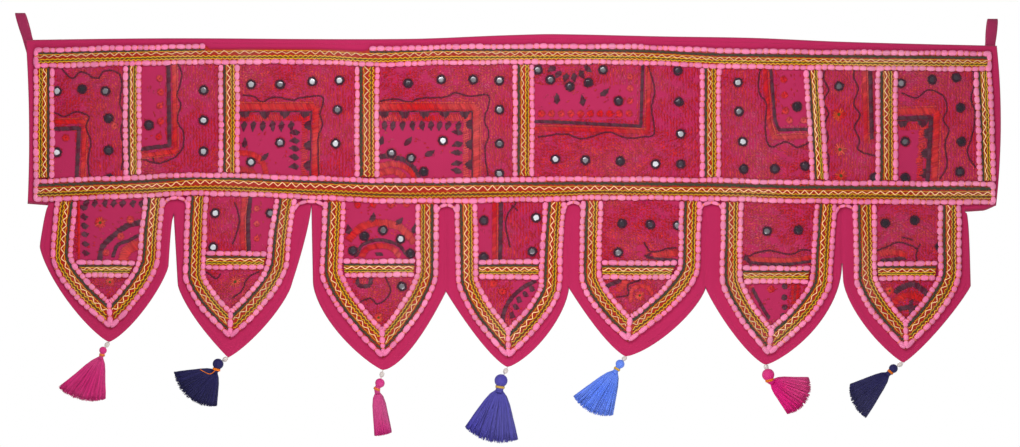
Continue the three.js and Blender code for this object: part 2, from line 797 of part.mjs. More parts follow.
// A loop's section across the tape: an eye with a level seat at its top, and the two ends
// together below it.
function tapeLoop({ x, z, lean }) {
  const { foot, broad, top, halfBroad, halfTop } = EYE;
  const t = TAPE.thick;
  const outline = new THREE.Shape();
  outline.moveTo(-t, -TAPE.tail);
  outline.lineTo(t, -TAPE.tail);
  outline.lineTo(t, foot - PINCH);
  outline.quadraticCurveTo(halfBroad + t, broad - BEND.outside, halfBroad + t, broad);
  outline.quadraticCurveTo(halfBroad + t, top + t, halfTop, top + t);
  outline.lineTo(-halfTop, top + t);
  outline.quadraticCurveTo(-halfBroad - t, top + t, -halfBroad - t, broad);
  outline.quadraticCurveTo(-halfBroad - t, broad - BEND.outside, -t, foot - PINCH);
  const eye = new THREE.Path();
  eye.moveTo(0, foot);
  eye.quadraticCurveTo(-halfBroad, broad - BEND.inside, -halfBroad, broad);
  eye.quadraticCurveTo(-halfBroad, top - BEND.shoulder, -halfTop, top);
  eye.lineTo(halfTop, top);
  eye.quadraticCurveTo(halfBroad, top - BEND.shoulder, halfBroad, broad);
  eye.quadraticCurveTo(halfBroad, broad - BEND.inside, 0, foot);
  outline.holes.push(eye);
  const geometry = new THREE.ExtrudeGeometry(outline, {
    depth: TAPE.wide,
    bevelEnabled: false,
    curveSegments: BEND_STEPS,
  });
  const behind = Math.max(hang(x, z), hang(x, z - TAPE.tail)) + BACKING_THICK + TAPE_CLEAR + t;
  const stand = new THREE.Matrix4().set(
    0, lean, 1, x - TAPE.wide / 2,
    1, 0, 0, behind,
    0, 1, 0, z,
    0, 0, 0, 1,
  );
  return geometryFrom(solidFrom(geometry.applyMatrix4(stand)));
}

const toran = new THREE.Group();

function addPiece(parent, name, geometry, colour, roughness = 0.9) {
  const flatShaded = geometry.index ? geometry.toNonIndexed() : geometry;
  flatShaded.computeVertexNormals();
  const material = new THREE.MeshStandardMaterial({ color: colour, roughness, metalness: 0 });
  const mesh = new THREE.Mesh(flatShaded, material);
  mesh.name = name;
  parent.add(mesh);
}

addPiece(toran, "backing_cloth", backingCloth(), COLOURS.backing);

const heading = new THREE.Group();
toran.add(heading);
addPiece(heading, "trim_top", longTrim(TOP_TRIM, topTrimLine, [-1]), COLOURS.trim);
addPiece(heading, "trim_bottom", longTrim(BOTTOM_TRIM, bottomTrimLine, [-1, 1]), COLOURS.trim);
UPRIGHTS.forEach((upright, i) => {
  const tucked = [-1, 1].filter((side) => UPRIGHTS[i + side]);
  addPiece(heading, upright.name, uprightTrim(upright, tucked), COLOURS.trim);
  if (i > 0) {
    const patch = headingPatch(UPRIGHTS[i - 1], upright);
    addPiece(heading, "patch_heading_" + i, patch, COLOURS.ground);
  }
});

PENNANTS.forEach((pennant, i) => {
  const row = PENNANT_TRIMS[i];
  const line = pennantTrimLine(row);
  const group = new THREE.Group();
  toran.add(group);
  const number = i + 1;
  const trim = trimAlong(line.map(acrossLine), row.wide, [1]);
  addPiece(group, "pennant_trim_" + number, trim, COLOURS.trim);
  addPiece(group, "pennant_bar_" + number, pennantBar(line, row.bar), COLOURS.trim);
  addPiece(group, "patch_upper_" + number, upperPatch(line, row.bar), COLOURS.pennantGround);
  addPiece(group, "patch_lower_" + number, lowerPatch(line, row.bar), COLOURS.ground);
  addPiece(group, "tassel_" + number, tassel(TASSELS[i], pennant), TASSELS[i].colour, 0.8);
});

for (const loop of LOOPS) addPiece(toran, loop.name, tapeLoop(loop), COLOURS.tape);

export default toran;
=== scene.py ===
"""A toran, the embroidered cloth that hangs over a doorway: one backing cloth with a straight
heading and seven pennants, patches worked in thread and mirrors, raised couched trims, a
tassel at each point and a tape loop at each top corner.

Lengths in the tables are millimetres, and add_piece turns them into metres. X runs along the
door head, Z is up and the worked face looks along -Y. "Out" is a distance off the backing's
face towards the front."""
import math

import bpy
import numpy as np
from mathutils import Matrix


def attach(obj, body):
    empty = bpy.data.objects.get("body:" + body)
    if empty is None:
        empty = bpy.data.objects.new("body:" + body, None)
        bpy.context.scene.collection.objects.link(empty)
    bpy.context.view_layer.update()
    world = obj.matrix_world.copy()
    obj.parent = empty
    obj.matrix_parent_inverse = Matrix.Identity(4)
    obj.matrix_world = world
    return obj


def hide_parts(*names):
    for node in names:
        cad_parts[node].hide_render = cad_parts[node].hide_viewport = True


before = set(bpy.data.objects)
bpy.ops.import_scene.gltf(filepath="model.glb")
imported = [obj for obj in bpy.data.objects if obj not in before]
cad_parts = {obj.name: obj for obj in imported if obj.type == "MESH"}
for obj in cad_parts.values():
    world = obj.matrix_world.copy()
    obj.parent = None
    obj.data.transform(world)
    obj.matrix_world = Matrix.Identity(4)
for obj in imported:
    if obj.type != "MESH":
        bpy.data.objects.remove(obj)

bl_info = {
    "name": "Toran door hanging",
    "version": (1, 0, 0),
    "blender": (4, 5, 0),
    "location": "View3D > Sidebar > Toran",
    "description": "Makes an embroidered door hanging with couched trims, mirrors and tassels",
    "category": "Add Mesh",
}

MM = 0.001


def rows_of(names, rows):
    """The rows of a table, each as a dictionary under the names of its columns."""
    return [dict(zip(names.split(), row)) for row in rows]


# Layers, counted out from the face of the backing cloth.
BACKING_THICK = 1.6
PATCH_BACK = 0.45
PATCH_FACE = 1.45
WORK_BASE = PATCH_FACE - 0.12
BAND_FACE = 2.3
CORD_OUT = 2.9
CORD_MIDDLE = 2.2  # from a trim's side to the middle of its edge cord
BAND_SIDE = 4.4  # from a trim's side to where its yarns begin
WORK_TOP = -31  # the height that places on the heading's patches are measured from
TUCK = 4.0  # how far a patch runs in under a trim
GAP = 0.4  # between two trims that meet

# How the hung cloth stands off a flat plane: depth, period along X, period down Z, shift.
WAVES = [(1.5, 620, 900, 0.4), (0.9, -340, 520, 1.9), (0.5, 290, -330, 4.0)]
CURL_FROM = -180
CURL_DROP = 160
CROSSED_DEEP = 0.16
SLANTED_DEEP = 0.22

# How finely lines and grids are divided, and how a yarn's rings are turned.
YARN_TURN = 0.3
WALK_PIECES = 12
LONG_STATIONS = 160
UPRIGHT_STATIONS = 30
BAR_STATIONS = 24
PATCH_ROWS = 38
PATCH_COLUMN_STEP = 3.6
NEAREST_BATCH = 1500
TINY = 1e-9

# The heading's outline, as rows of x and z.
TOP_EDGE = [
    (-500, -5), (-350, -3.5), (-110, -4), (0, 0), (45, 1),
    (160, -1.5), (250, -3.2), (340, -7), (500, -11),
]
HEADING_FOOT = [
    (-498.5, -174), (-477.4, -175.6), (-206, -177.3), (340, -178),
    (467, -182.3), (487, -181), (499, -175.7),
]
LEFT_END = (-500.5, -497, -498.5)  # x at the top, the middle and the foot
RIGHT_END = (500, 504, 499)

# Where neighbouring pennants part, from the left corner to the right one.
PARTINGS = [
    (-477.4, -175.6), (-348.1, -186.4), (-206, -177.3), (-67.5, -264.7),
    (59.2, -261), (200.1, -261), (340.4, -235.9), (467, -182.3),
]

# A pennant's edge falls from its parting to a knee and closes on its point. Each side is its
# knee's x and z, its fall, its swell and its blunt.
PENNANTS = rows_of("tip curl left right", [
    ((-414.6, -316.2), -3, (-486.2, -217.3, 0.7, 1.35, 0.8), (-353.3, -237.9, 0.55, 1.25, 0.76)),
    ((-292, -332.2), 2, (-344, -256.5, 1, 1.35, 0.96), (-226.1, -256.5, 1.3, 1.3, 0.83)),
    ((-132.4, -345.1), -2.5, (-204.5, -254.4, 1, 1.6, 0.84), (-67.5, -264.7, 1, 1, 0.62)),
    ((-4.1, -342), 1.5, (-67.5, -264.7, 1, 1, 0.76), (59.2, -261, 1, 1.5, 0.73)),
    ((117.9, -331.1), -2, (59.2, -261, 1, 1, 0.75), (200.1, -261, 1, 1.3, 0.71)),
    ((262.1, -339.9), 2.5, (200.1, -261, 1, 1.1, 0.75), (340.4, -235.9, 1, 1.9, 0.78)),
    ((403.2, -337.3), -1.5, (341.4, -252.4, 1, 1.5, 0.85), (472.8, -258.5, 0.3, 1.1, 0.84)),
])
SEAM_SINK = 1.2  # the backing draws back where two joined pennants meet
SEAM_HALF = 1.6
SEAM_TOP = -180
HEM_WIDE = 6.0
HEM_RISE = 0.35
HEM_FADE = 2
HEM_INSET = HEM_WIDE - 1
HEM_STITCH_STEP = 2.4
ROW_GAP = 0.35

# The long trims by their middle lines, and the upright ones by x at their top and foot.
TOP_WIDE = 20
TOP_LINE = [
    (-491, -24.2), (-340, -20.6), (-200, -20), (-141, -22.6),
    (-60, -20.6), (120, -20.3), (225, -24.7), (494, -27.4),
]
BOTTOM_WIDE = 22.5
BOTTOM_LINE = [
    (-491.5, -160), (-398, -156.6), (-321, -153.5), (-218, -156.6), (-115, -159.1),
    (29, -157.6), (194, -158.6), (297, -161.2), (497.5, -162.8),
]
BOTTOM_DROP = [(-492, 0.6), (-230, 0.3), (-150, 2.6), (-30, 3.4), (40, 2.4), (90, 0.6), (498, 0.6)]
# The upright trims from the left end to the right one. The dark line of a trim lies on its right
# where green is 1, and on its left where it is -1.
UPRIGHTS = rows_of("top foot wide green", [
    (-481, -481, 20.5, 1),
    (-390, -390, 18, -1),
    (-290.6, -290.6, 21, -1),
    (-148.7, -148.7, 24.5, -1),
    (12.4, 12.4, 21.5, -1),
    (204.5, 204.5, 21, -1),
    (310, 317, 18, -1),
    (386, 386, 22, -1),
    (485, 489, 18, -1),
])

# A pennant's trim: each leg is its x at the top and its knee's x and z. Green is the side of
# the dark line on each leg, 1 for inwards. The bar is its z and width.
PENNANT_TRIMS = rows_of("wide tip left right green bar", [
    (22, (-413.5, -288.4), (-457.5, -463.2, -227.6), (-367.4, -373.4, -229.7), (1, 1), (-241, 17)),
    (22, (-289.4, -298.2), (-323, -326.5, -246.1), (-231.8, -240.5, -233.8), (-1, 1), (-232.1, 18)),
    (22.5, (-132.7, -317.3), (-181.4, -185.4, -242.1), (-87, -87, -244.1), (-1, -1), (-240, 18)),
    (22.5, (-3.6, -317.3), (-46.9, -45.8, -249.3), (44.6, 39.7, -257.5), (-1, 1), (-241.5, 19.5)),
    (22, (121, -302.8), (82.9, 80.9, -248.2), (184.4, 182.8, -237.9), (-1, 1), (-242.1, 18.5)),
    (22, (266.3, -315.2), (227.1, 226.1, -249.3), (323.9, 318.8, -251.3), (-1, 1), (-247, 17.5)),
    (23, (405.3, -309), (363.1, 364.1, -248.2), (450.4, 450.6, -244.1), (-1, 1), (-242.9, 19)),
])
KNEE_SWELL = 1.5
LEG_BOW = 0.5
LEG_STATIONS = (0.86, 0.68, 0.45, 0.2)  # shares up a slanted leg, from its tip to its knee

# A tassel: its head's x, z and radius, the tie's x and z, and its skirt, which fans out round
# lean by spread to each side, in degrees. Its locks are left and right long, belly more in the
# middle, and round is half the skirt's width just under the tie.
TASSELS = rows_of("head tie slot lean spread left right belly round", [
    ((-420.8, -324.9, 3.9), (-421.8, -329.6), "tassel_pink", -25, 24, 54, 44, 2, 3.5),
    ((-302.3, -338.9, 5.6), (-303.9, -344.5), "tassel_navy", -43, 38, 41, 35, 3, 4),
    ((-135.4, -358.4, 4.9), (-138.5, -364.6), "tassel_rose", 8, 4, 47, 46, 1, 5.6),
    ((-10.8, -356, 6.7), (-11.8, -362.6), "tassel_violet", -11, 24, 52, 54, 4, 6),
    ((111.8, -338.9, 4.6), (108.7, -344), "tassel_blue", -32, 22, 51, 46, 4, 4),
    ((264.7, -350.2, 6.4), (266.3, -355.9), "tassel_pink", 61, 27, 37, 38, 6, 4.4),
    ((393, -343.5, 4.6), (389.9, -347.1), "tassel_navy", -50.5, 18, 42, 52, 3, 3.5),
])
SKIRT_ROOT_DEEP = 3.4
SKIRT_GROW = 2.6
SHOULDER = 0.3

# A tape loop: x, z and how far it leans sideways for each unit up.
LOOPS = {"loop_left": (-498.5, -5, -0.29), "loop_right": (493.5, -11, 0.09)}
TAPE_WIDE = 10.5
TAPE_THICK = 1.4
TAPE_TAIL = 16
TAPE_CLEAR = 0.45
EYE_FOOT = 4
EYE_BROAD = 17
EYE_TOP = 26.6
EYE_HALF_BROAD = 4.2

# What is worked on each patch. Places are across and down from the patch's top left corner,
# and on the lower pennant patches from the middle of the bar's foot. A plain box is left, top,
# right and foot. Mirrors are across, down and their painted reflection: 0 dark, 1 grey, 2
# bright. A floret is across, down and radius, a disc across, down, outer and inner radius, and
# a dot across and down. A curve is a band's colour, width and path. Petals are their path,
# their length and their turn from straight up towards the right, in degrees.
WORK = {
    "heading_1": {
        "plain": [(0, 68, 21, 120)],
        "mirrors": [(3, 27, 2), (29, 25, 0), (53, 27, 1), (56, 55, 0), (56, 88, 0), (3, 90, 2),
                    (57, 117, 0)],
        "dark_bands": [[(-3, 66), (26, 65), (23, 120)]],
        "red_bands": [[(-3, 59), (32, 58), (29, 120)]],
        "vines": [[(3, -3), (18, 14), (28, 7), (44, 14), (52, 6), (65, 8), (70, 17), (68, 40),
                   (72, 52), (69, 66), (71, 84), (70, 108)],
                  [(-2, 49), (12, 53), (22, 48), (36, 53), (33, 64), (38, 80), (35, 98), (37, 120)]],
        "florets": [(12, 75, 3.4), (62, 63, 3)],
    },
    "heading_2": {
        "plain": [(0, 0, 25, 84)],
        "mirrors": [(8, 62, 0), (64, 26, 1), (64, 57, 2), (64, 89, 2)],
        "dark_bands": [[(28, -3), (29, 83), (-3, 87)]],
        "red_bands": [[(34, -3), (35, 89), (-3, 94)]],
        "vines": [[(37, -2), (42, 10), (37, 31), (41, 41), (37, 57), (44, 72), (40, 90), (19, 101),
                   (-2, 96)], [(14, 101), (12, 95)]],
        "florets": [(19, 14, 3), (20, 28, 3.2), (19, 42, 3), (20, 58, 3.2), (18, 74, 3)],
    },
    "heading_3": {
        "plain": [(0, 58, 66, 120)],
        "mirrors": [(12, 20, 2), (42, 20, 1), (75, 17, 2), (103, 16, 2), (101, 46, 1),
                    (99, 81, 2), (42, 80, 1), (12, 100, 2)],
        "scallops": [[(-2, 48), (74, 48), (73, 120)]],
        "red_bands": [[(-2, 43), (78.8, 43), (78, 120)]],
        "vines": [[(3, 31), (16, 33), (23, 38), (36, 33), (54, 36), (63, 34), (86, 33), (83, 51),
                   (86, 62), (81, 77), (82, 118)]],
        "petals": [([(5, 58), (53, 58)], 10.5, 180),
                   ([(62, 69), (61, 104)], 10, -90),
                   ([(5.5, 85)], 10, 15),
                   ([(22.5, 99)], 11, 45)],
        "curves": [("scarlet", 7, [(-3, 91), (9, 91), (19, 95), (25, 103), (28, 116)]),
                   ("crimson", 8, [(-3, 108), (6, 108), (13, 110), (17, 117)])],
    },
    "heading_4": {
        "plain": [(0, 58, 86, 120)],
        "mirrors": [(30, 19, 0), (64, 15, 1), (97, 15, 1), (124, 16, 1), (124, 46, 1), (124, 81, 1),
                    (124, 112, 1), (66, 78, 2), (13, 91, 1), (33, 96, 1), (46, 110, 0)],
        "scallops": [[(-2, 48), (96, 48), (96, 120)]],
        "red_bands": [[(-2, 43), (100.4, 43), (100.4, 120)]],
        "vines": [[(-1, 38), (16, 35), (30, 38), (44, 34), (68, 33), (78, 29), (94, 32), (112, 31),
                   (113, 41), (109, 55), (113, 72), (109, 88), (113, 118)]],
        "petals": [([(5, 58), (82, 58)], 9.5, 180),
                   ([(86, 70), (85, 110)], 11, -90),
                   ([(0.5, 83)], 10, 10),
                   ([(27, 83)], 11, 20),
                   ([(48, 94)], 11, 40)],
        "curves": [("scarlet", 7, [(-3, 106), (6, 103), (16, 102), (26, 105), (33, 110), (38, 118)]),
                   ("scarlet", 8, [(-3, 114), (8, 110), (18, 110), (27, 117)]),
                   ("dark", 6, [(-3, 95), (8, 94), (16, 95.5), (24, 97), (31, 101), (37, 108), (41, 118)])],
    },
    "heading_5": {
        "plain": [(0, 20, 106, 56)],
        "mirrors": [(4, 5, 1), (17, 15, 1), (37, 22, 0), (56, 18, 0), (71, 5, 1), (87, 37, 0),
                    (148, 6, 0), (149, 38, 0), (151, 71, 2), (151, 102, 0), (22, 97, 2),
                    (53, 98, 1), (89, 99, 0), (125, 102, 2)],
        "dark_bands": [[(-3, 58), (30, 59), (70, 61), (110, 63), (112, -3)]],
        "red_bands": [[(-3, 65), (70, 67), (117, 69), (119, -3)]],
        "vines": [[(4, 74), (32, 71), (50, 76), (76, 69), (94, 75), (114, 74), (124, 70), (121, 45),
                   (124, 25), (117, -2)]],
        "petals": [([(24, 40)], 11, 10),
                   ([(51, 42)], 11, -2),
                   ([(69, 32)], 11, 45)],
        "florets": [(x, 50, 3.2) for x in range(8, 104, 10)] + [(99, z, 3) for z in (12, 24, 37)],
        "discs": [(37, -10, 25, 12)],
    },
    "heading_6": {
        "plain": [(60, 0, 96, 62)],
        "mirrors": [(18, 18, 2), (19, 48, 1), (23, 79, 2), (24, 107, 0), (56, 107, 0), (87, 104, 0),
                    (79, 43, 0)],
        "dark_bands": [[(51, -3), (56, 57), (60, 67), (96, 66)]],
        "red_bands": [[(45, -3), (50, 60), (55, 75), (96, 73)]],
        "vines": [[(41, -2), (39, 26), (47, 41), (46, 67), (51, 84), (67, 79), (79, 85), (93, 79)]],
        "florets": [(65, 15, 3.2), (66, 31, 3.2), (67, 47, 3.2), (71, 57, 3), (86, 57, 3)],
    },
    "heading_7": {
        "mirrors": [(18, 22, 1), (54.5, 116, 0)],
        "dark_bands": [[(50, -3), (52, 76)]],
        "red_bands": [[(44, -3), (46, 80)]],
        "vines": [[(5, -2), (2, 13), (7, 25), (2, 38), (7, 50), (3, 62), (7, 73), (4, 85), (8, 97),
                   (5, 116)],
                  [(36, -2), (33, 12), (38, 25), (33, 40), (40, 52), (34, 63), (39, 78), (37, 87),
                   (50, 92), (58, 94)]],
        "florets": [(18, 51, 5.6), (19, 87, 5.6), (20, 114, 5.6)],
    },
    "heading_8": {
        "plain": [(0, 62, 27, 120)],
        "mirrors": [(4, 19, 1), (36, 15, 0), (61, 13, 0), (65, 44, 0), (66, 79, 0), (64, 110, 0),
                    (8, 79, 1), (8, 116, 0)],
        "scallops": [[(-2, 58), (33, 57), (29, 120)]],
        "dark_bands": [[(-2, 55), (35, 54), (31, 120)]],
        "red_bands": [[(-2, 48), (41, 47), (38, 120)]],
        "vines": [[(4, 29), (19, 34), (32, 26), (47, 32), (51, 46), (47, 57), (53, 67), (49, 82),
                   (51, 103), (44, 118)],
                  [(76, -2), (79, 18), (76, 34), (80, 50), (77, 72), (72, 90), (80, 106)]],
        "florets": [(25, 70, 2.8), (24, 84, 2.8), (23, 98, 2.8), (24, 110, 2.8)],
    },
    "upper_1": {
        "plain": [(0, 0, 74, 64)],
        "petals": [([(8, 2), (66, 2)], 7, 180),
                   ([(3, 10), (5, 56)], 7, 90)],
        "curves": [("scarlet", 3, [(1, 2), (1, 62)]),
                   ("dark", 6.5, [(22, 65), (26, 49), (38, 37.5), (51, 28), (67, 24)]),
                   ("dark", 4, [(36, 60), (41, 48), (53, 43), (63, 37.5)]),
                   ("scarlet", 12, [(47, 64), (50, 54), (60, 48), (70, 45)])],
        "florets": [(23, 25, 5), (54, 22, 3.4), (29, 56, 3.2), (44, 39, 3.2)],
    },
    "upper_2": {
        "plain": [(44, 0, 72, 60)],
        "mirrors": [(7, 18, 2), (5, 53, 2), (64, 18, 1)],
        "dark_bands": [[(44, -4), (41, 26), (42, 60)]],
        "red_bands": [[(38, -4), (35, 26), (36, 60)]],
        "vines": [[(27, 6), (32, 26), (25, 50)]],
        "florets": [(50, 13, 2.6), (50, 29, 2.6), (50, 44, 2.6)],
    },
    "upper_3": {
        "plain": [(0, 0, 80, 62)],
        "mirrors": [(38, 31, 1), (19, 37, 0), (7, 52, 0), (56, 40, 2), (66, 55, 0)],
        "petals": [([(3.6, 35)], 10, -10),
                   ([(26.6, 23)], 10, 10),
                   ([(51.4, 25.6)], 10, 30),
                   ([(70, 34)], 10, 10)],
        "curves": [("scarlet", 9, [(2, 41), (17, 27), (36, 23.5), (55, 28), (70, 43)]),
                   ("dark", 4, [(10, 58), (17, 46), (34, 41), (53, 46), (62, 56)]),
                   ("scarlet", 7, [(16, 58), (22, 50), (35, 47), (48, 50), (55, 58)]),
                   ("dark", 4, [(31, 55.5), (37, 55.5)])],
        "florets": [(12, 5, 3), (28, 4, 3), (46, 5, 3), (62, 4, 3)],
    },
    "upper_4": {
        "plain": [(0, 0, 18, 62)],
        "mirrors": [(7, 22, 0), (61, 19, 2), (57, 54, 1), (7, 60, 0)],
        "dark_bands": [[(25, -4), (24, 62)]],
        "red_bands": [[(18, -4), (18, 62)]],
        "vines": [[(41, 2), (30, 21), (34, 50)], [(36, 6), (42, 12)]],
    },
    "upper_5": {
        "plain": [(36, 47, 45, 58)],
        "mirrors": [(20, 25, 0), (49, 26, 0), (77, 27, 1), (16, 55, 1)],
        "curves": [("scarlet", 8, [(52, 58), (64, 56), (77, 56)]),
                   ("dark", 3.5, [(45, 59.5), (55, 61), (66, 62.3), (77, 63)])],
        "vines": [[(42, 44), (46, 50), (48.5, 54), (56, 54), (65, 51), (76, 50)], [(43, 59), (49, 56)]],
    },
    "upper_6": {
        "mirrors": [(25, 30, 1), (57, 29, 0)],
        "curves": [("scarlet", 6, [(8, 59), (30, 60), (50, 60), (74, 57)]),
                   ("dark", 6, [(2, 57), (9, 63)]),
                   ("dark", 4, [(9, 62), (24, 64), (45, 64), (62, 62), (76, 60)])],
        "vines": [[(1, 58), (13, 53), (28, 50), (49, 54), (62, 49), (74, 51)]],
    },
    "upper_7": {
        "mirrors": [(10, 20.5, 0), (40, 17.5, 0), (66, 44.5, 0)],
        "curves": [("scarlet", 8, [(4, 52), (18, 50), (32, 54)]),
                   ("dark", 4.5, [(6, 59), (19, 57.5), (31, 56)])],
        "vines": [[(1, 48), (6, 47), (16, 42.4), (23, 40), (33, 42.4), (42.5, 47.3), (41, 55), (44, 61)],
                  [(42.5, 47.3), (46, 41.6)], [(26, 35), (38, 37)]],
    },
    "lower_1": {
        "vines": [[(-24, 6), (-14, 14)], [(20, 3), (12, 13), (4, 22)]],
        "florets": [(0, 5, 4)],
    },
    "lower_2": {
        "vines": [[(-26, 2), (-14, 10), (-10, 4)], [(30, 2), (18, 9), (12, 22), (2, 30)]],
        "florets": [(5, 13, 5)],
    },
    "lower_3": {
        "mirrors": [(20, 10, 1)],
        "vines": [[(3, 0), (8, 16), (-4, 28), (-13, 22), (-25, 27)]],
        "curves": [("dark", 5, [(-26, 2), (-24, 9), (-14, 9), (-12, 2)])],
        "florets": [(-4, 42, 4)],
    },
    "lower_4": {
        "plain": [(4, 0, 40, 40)],
        "dark_bands": [[(-5, 48), (-5, 38), (1, 23), (14, 10), (28, 2)]],
        "petals": [([(2, 36), (9, 20), (22, 9)], 6, 125)],
        "florets": [(-15, 5, 3.5), (-6, 13, 3.5)],
    },
    "lower_5": {
        "curves": [("scarlet", 8, [(-12, 12), (-7, 7), (-3, 2)]),
                   ("scarlet", 5, [(2, 24), (3, 11), (12, 7), (21, 10), (24, 16)]),
                   ("dark", 5, [(-26, 10), (-20, 6), (-14, 4), (-9, 1)])],
        "vines": [[(12, 1), (-1, 6), (-1, 16), (-13, 19)]],
        "florets": [(11, 17, 4)],
    },
    "lower_6": {
        "plain": [(-16, 0, 18, 40)],
        "curves": [("scarlet", 10, [(26, 2), (26, 20)]), ("dark", 4, [(26, 2), (25, 18)]),
                   ("dark", 4, [(-18, 6), (-9, 23), (-1, 36)])],
        "florets": [(1, 6, 3.4)],
        "dots": [(15, 3.4), (14.6, 14.5), (15, 24.7), (13.6, 33.4)],
    },
    "lower_7": {
        "curves": [("scarlet", 7.5, [(-13, 25), (-6.6, 19), (3.3, 15.6), (13, 18), (18, 22)]),
                   ("dark", 7, [(-11, 13), (-3, 7), (7, 4), (16, 9), (22, 14)]),
                   ("dark", 6, [(-7, 30), (3, 28), (13, 29)]), ("dark", 5, [(5.7, 21), (5.7, 34)])],
        "florets": [(-16.4, 11, 3.6)],
    },
}


def smooth_line(rows):
    """z(x) through rows: a cubic between neighbours, its slopes from the rows around them."""
    x, z = np.array(rows, float).T
    slope = np.gradient(z, x)
    slope[1:-1] = (z[2:] - z[:-2]) / (x[2:] - x[:-2])

    def line(place):
        """The line's z over a place: a smooth step t^2 (3 - 2t) plus the bend of its slopes."""
        place = np.asarray(place, float)
        i = np.clip(np.searchsorted(x, place) - 1, 0, len(x) - 2)
        wide = x[i + 1] - x[i]
        t = np.clip((place - x[i]) / wide, 0, 1)
        bend = t * (1 - t) * wide * ((1 - t) * slope[i] - t * slope[i + 1])
        return z[i] + (z[i + 1] - z[i]) * t * t * (3 - 2 * t) + bend

    return line


def broken_line(rows):
    """z(x) through rows, straight between neighbours."""
    x, z = np.array(rows, float).T
    return lambda place: np.interp(place, x, z)


top_edge = smooth_line(TOP_EDGE)
heading_foot = broken_line(HEADING_FOOT)
top_line = smooth_line(TOP_LINE)
bottom_line = smooth_line(BOTTOM_LINE)
curl_at = smooth_line([(p["tip"][0], p["curl"]) for p in PENNANTS])


def hang(x, z):
    """y of the backing's face: a sum of cosine waves, with a curl that grows by the square of
    the way below the heading."""
    y = np.zeros(np.broadcast(x, z).shape)
    for depth, along, down, shift in WAVES:
        y = y + depth * (np.cos(2 * np.pi * (x / along + z / down) + shift) - math.cos(shift))
    below = np.maximum(0, (CURL_FROM - z) / CURL_DROP)
    return y + curl_at(x) * below**2


def cloth(x, z):
    """hang with shallow puckers: crossed sines whose ways wander, and a slower slanting one."""
    crossed = np.sin(x / 9 + 1.7 * np.sin(z / 31)) * np.sin(z / 11 + 1.3 * np.sin(x / 27))
    slanted = np.sin((x + 0.7 * z) / 21 + 0.9 * np.sin(x / 40))
    return hang(x, z) + CROSSED_DEEP * crossed + SLANTED_DEEP * slanted


def on_cloth(x, z, out):
    """Points at x and z, out millimetres in front of the backing's face."""
    return np.stack(np.broadcast_arrays(x, cloth(x, z) - out, z), -1)


def lerp(a, b, t):
    """The place a share t of the way from a to b."""
    return a + (b - a) * t


def unit(ways):
    """Ways brought to length 1: each over the root of the sum of its squares."""
    return ways / np.maximum(np.linalg.norm(ways, axis=-1, keepdims=True), TINY)


def left_of(ways):
    """Ways of x and z turned a quarter round to their left."""
    return np.stack([-ways[..., 1], ways[..., 0]], -1)


def turns(count):
    """So many angles, even once round."""
    return np.linspace(0, 2 * np.pi, count, endpoint=False)


def grid_faces(rows, columns):
    """Two triangles for each cell of a grid of rows by columns."""
    a = (np.arange(rows - 1)[:, None] * columns + np.arange(columns - 1)).ravel()
    b = a + columns
    return np.concatenate([np.stack([a, b, b + 1], 1), np.stack([a, b + 1, a + 1], 1)])


def ring_walls(count, size, joined=False):
    """Two triangles for each cell between neighbouring rings of size points, and between the
    last ring and the first where they are joined."""
    i, j = np.meshgrid(np.arange(count if joined else count - 1), np.arange(size), indexing="ij")
    a, b = (i * size + j).ravel(), (i * size + (j + 1) % size).ravel()
    c, d = (a + size) % (count * size), (b + size) % (count * size)
    return np.concatenate([np.stack([a, b, d], 1), np.stack([a, d, c], 1)])


def facing_out(points, faces):
    """The faces of a closed surface, turned round if its signed volume is less than nothing."""
    a, b, c = (points[faces[:, i]] for i in range(3))
    volume = np.einsum("ij,ij->i", a, np.cross(b, c)).sum()
    return faces if volume > 0 else faces[:, ::-1]


def swept(rings):
    """A closed surface over rings of points: walls between neighbouring rings, and a fan from
    the middle of each end ring."""
    count, size = rings.shape[:2]
    points = np.concatenate([rings.reshape(-1, 3), rings[[0, -1]].mean(1)])
    ring = np.arange(size)
    after = (ring + 1) % size
    last = (count - 1) * size
    first_fan = np.stack([after, ring, np.full(size, count * size)], 1)
    last_fan = np.stack([last + ring, last + after, np.full(size, count * size + 1)], 1)
    faces = np.concatenate([ring_walls(count, size), first_fan, last_fan])
    return points, facing_out(points, faces)


def copies(faces, places):
    """One mesh of many copies that share their faces: places is copies by points by 3."""
    count, size = places.shape[:2]
    steps = np.arange(count)[:, None, None] * size
    return places.reshape(-1, 3), (faces[None] + steps).reshape(-1, 3)


def yarn(path, radius, sides=5, flat=1.0):
    """A thread along a path of points on the cloth: rings whose radius may change along it,
    spread across the path and out along -Y, where flat squeezes them."""
    path = np.asarray(path, float)
    left = left_of(unit(np.gradient(path[:, [0, 2]], axis=0)))
    across = np.stack([left[:, 0], np.zeros(len(path)), left[:, 1]], 1)
    out = np.array([0.0, -1.0, 0.0])
    turn = turns(sides) + YARN_TURN
    radius = np.broadcast_to(radius, len(path))[:, None, None]
    ring = np.cos(turn)[:, None] * across[:, None] + flat * np.sin(turn)[:, None] * out
    return swept(path[:, None] + radius * ring)


SHORT_SHARES = (0.5,)
FULL_SHARES = (0.16, 1 - 0.16)
CREST_FOOT = 0.3  # how high a stitch's sides stand, as a share of its crest


def stitch_faces(sections):
    """The faces of one stitch: a fan from its first point, walls between its three-cornered
    sections, and a fan from its last point."""
    faces = [[0, 1 + k, 1 + (k + 1) % 3] for k in range(3)]
    for start in range(1, 3 * sections - 2, 3):
        for k in range(3):
            a, b = start + k, start + (k + 1) % 3
            faces += [[a, a + 3, b + 3], [a, b + 3, b]]
    last = 3 * sections + 1
    faces += [[last, last - 3 + (k + 1) % 3, last - 3 + k] for k in range(3)]
    return np.array(faces)


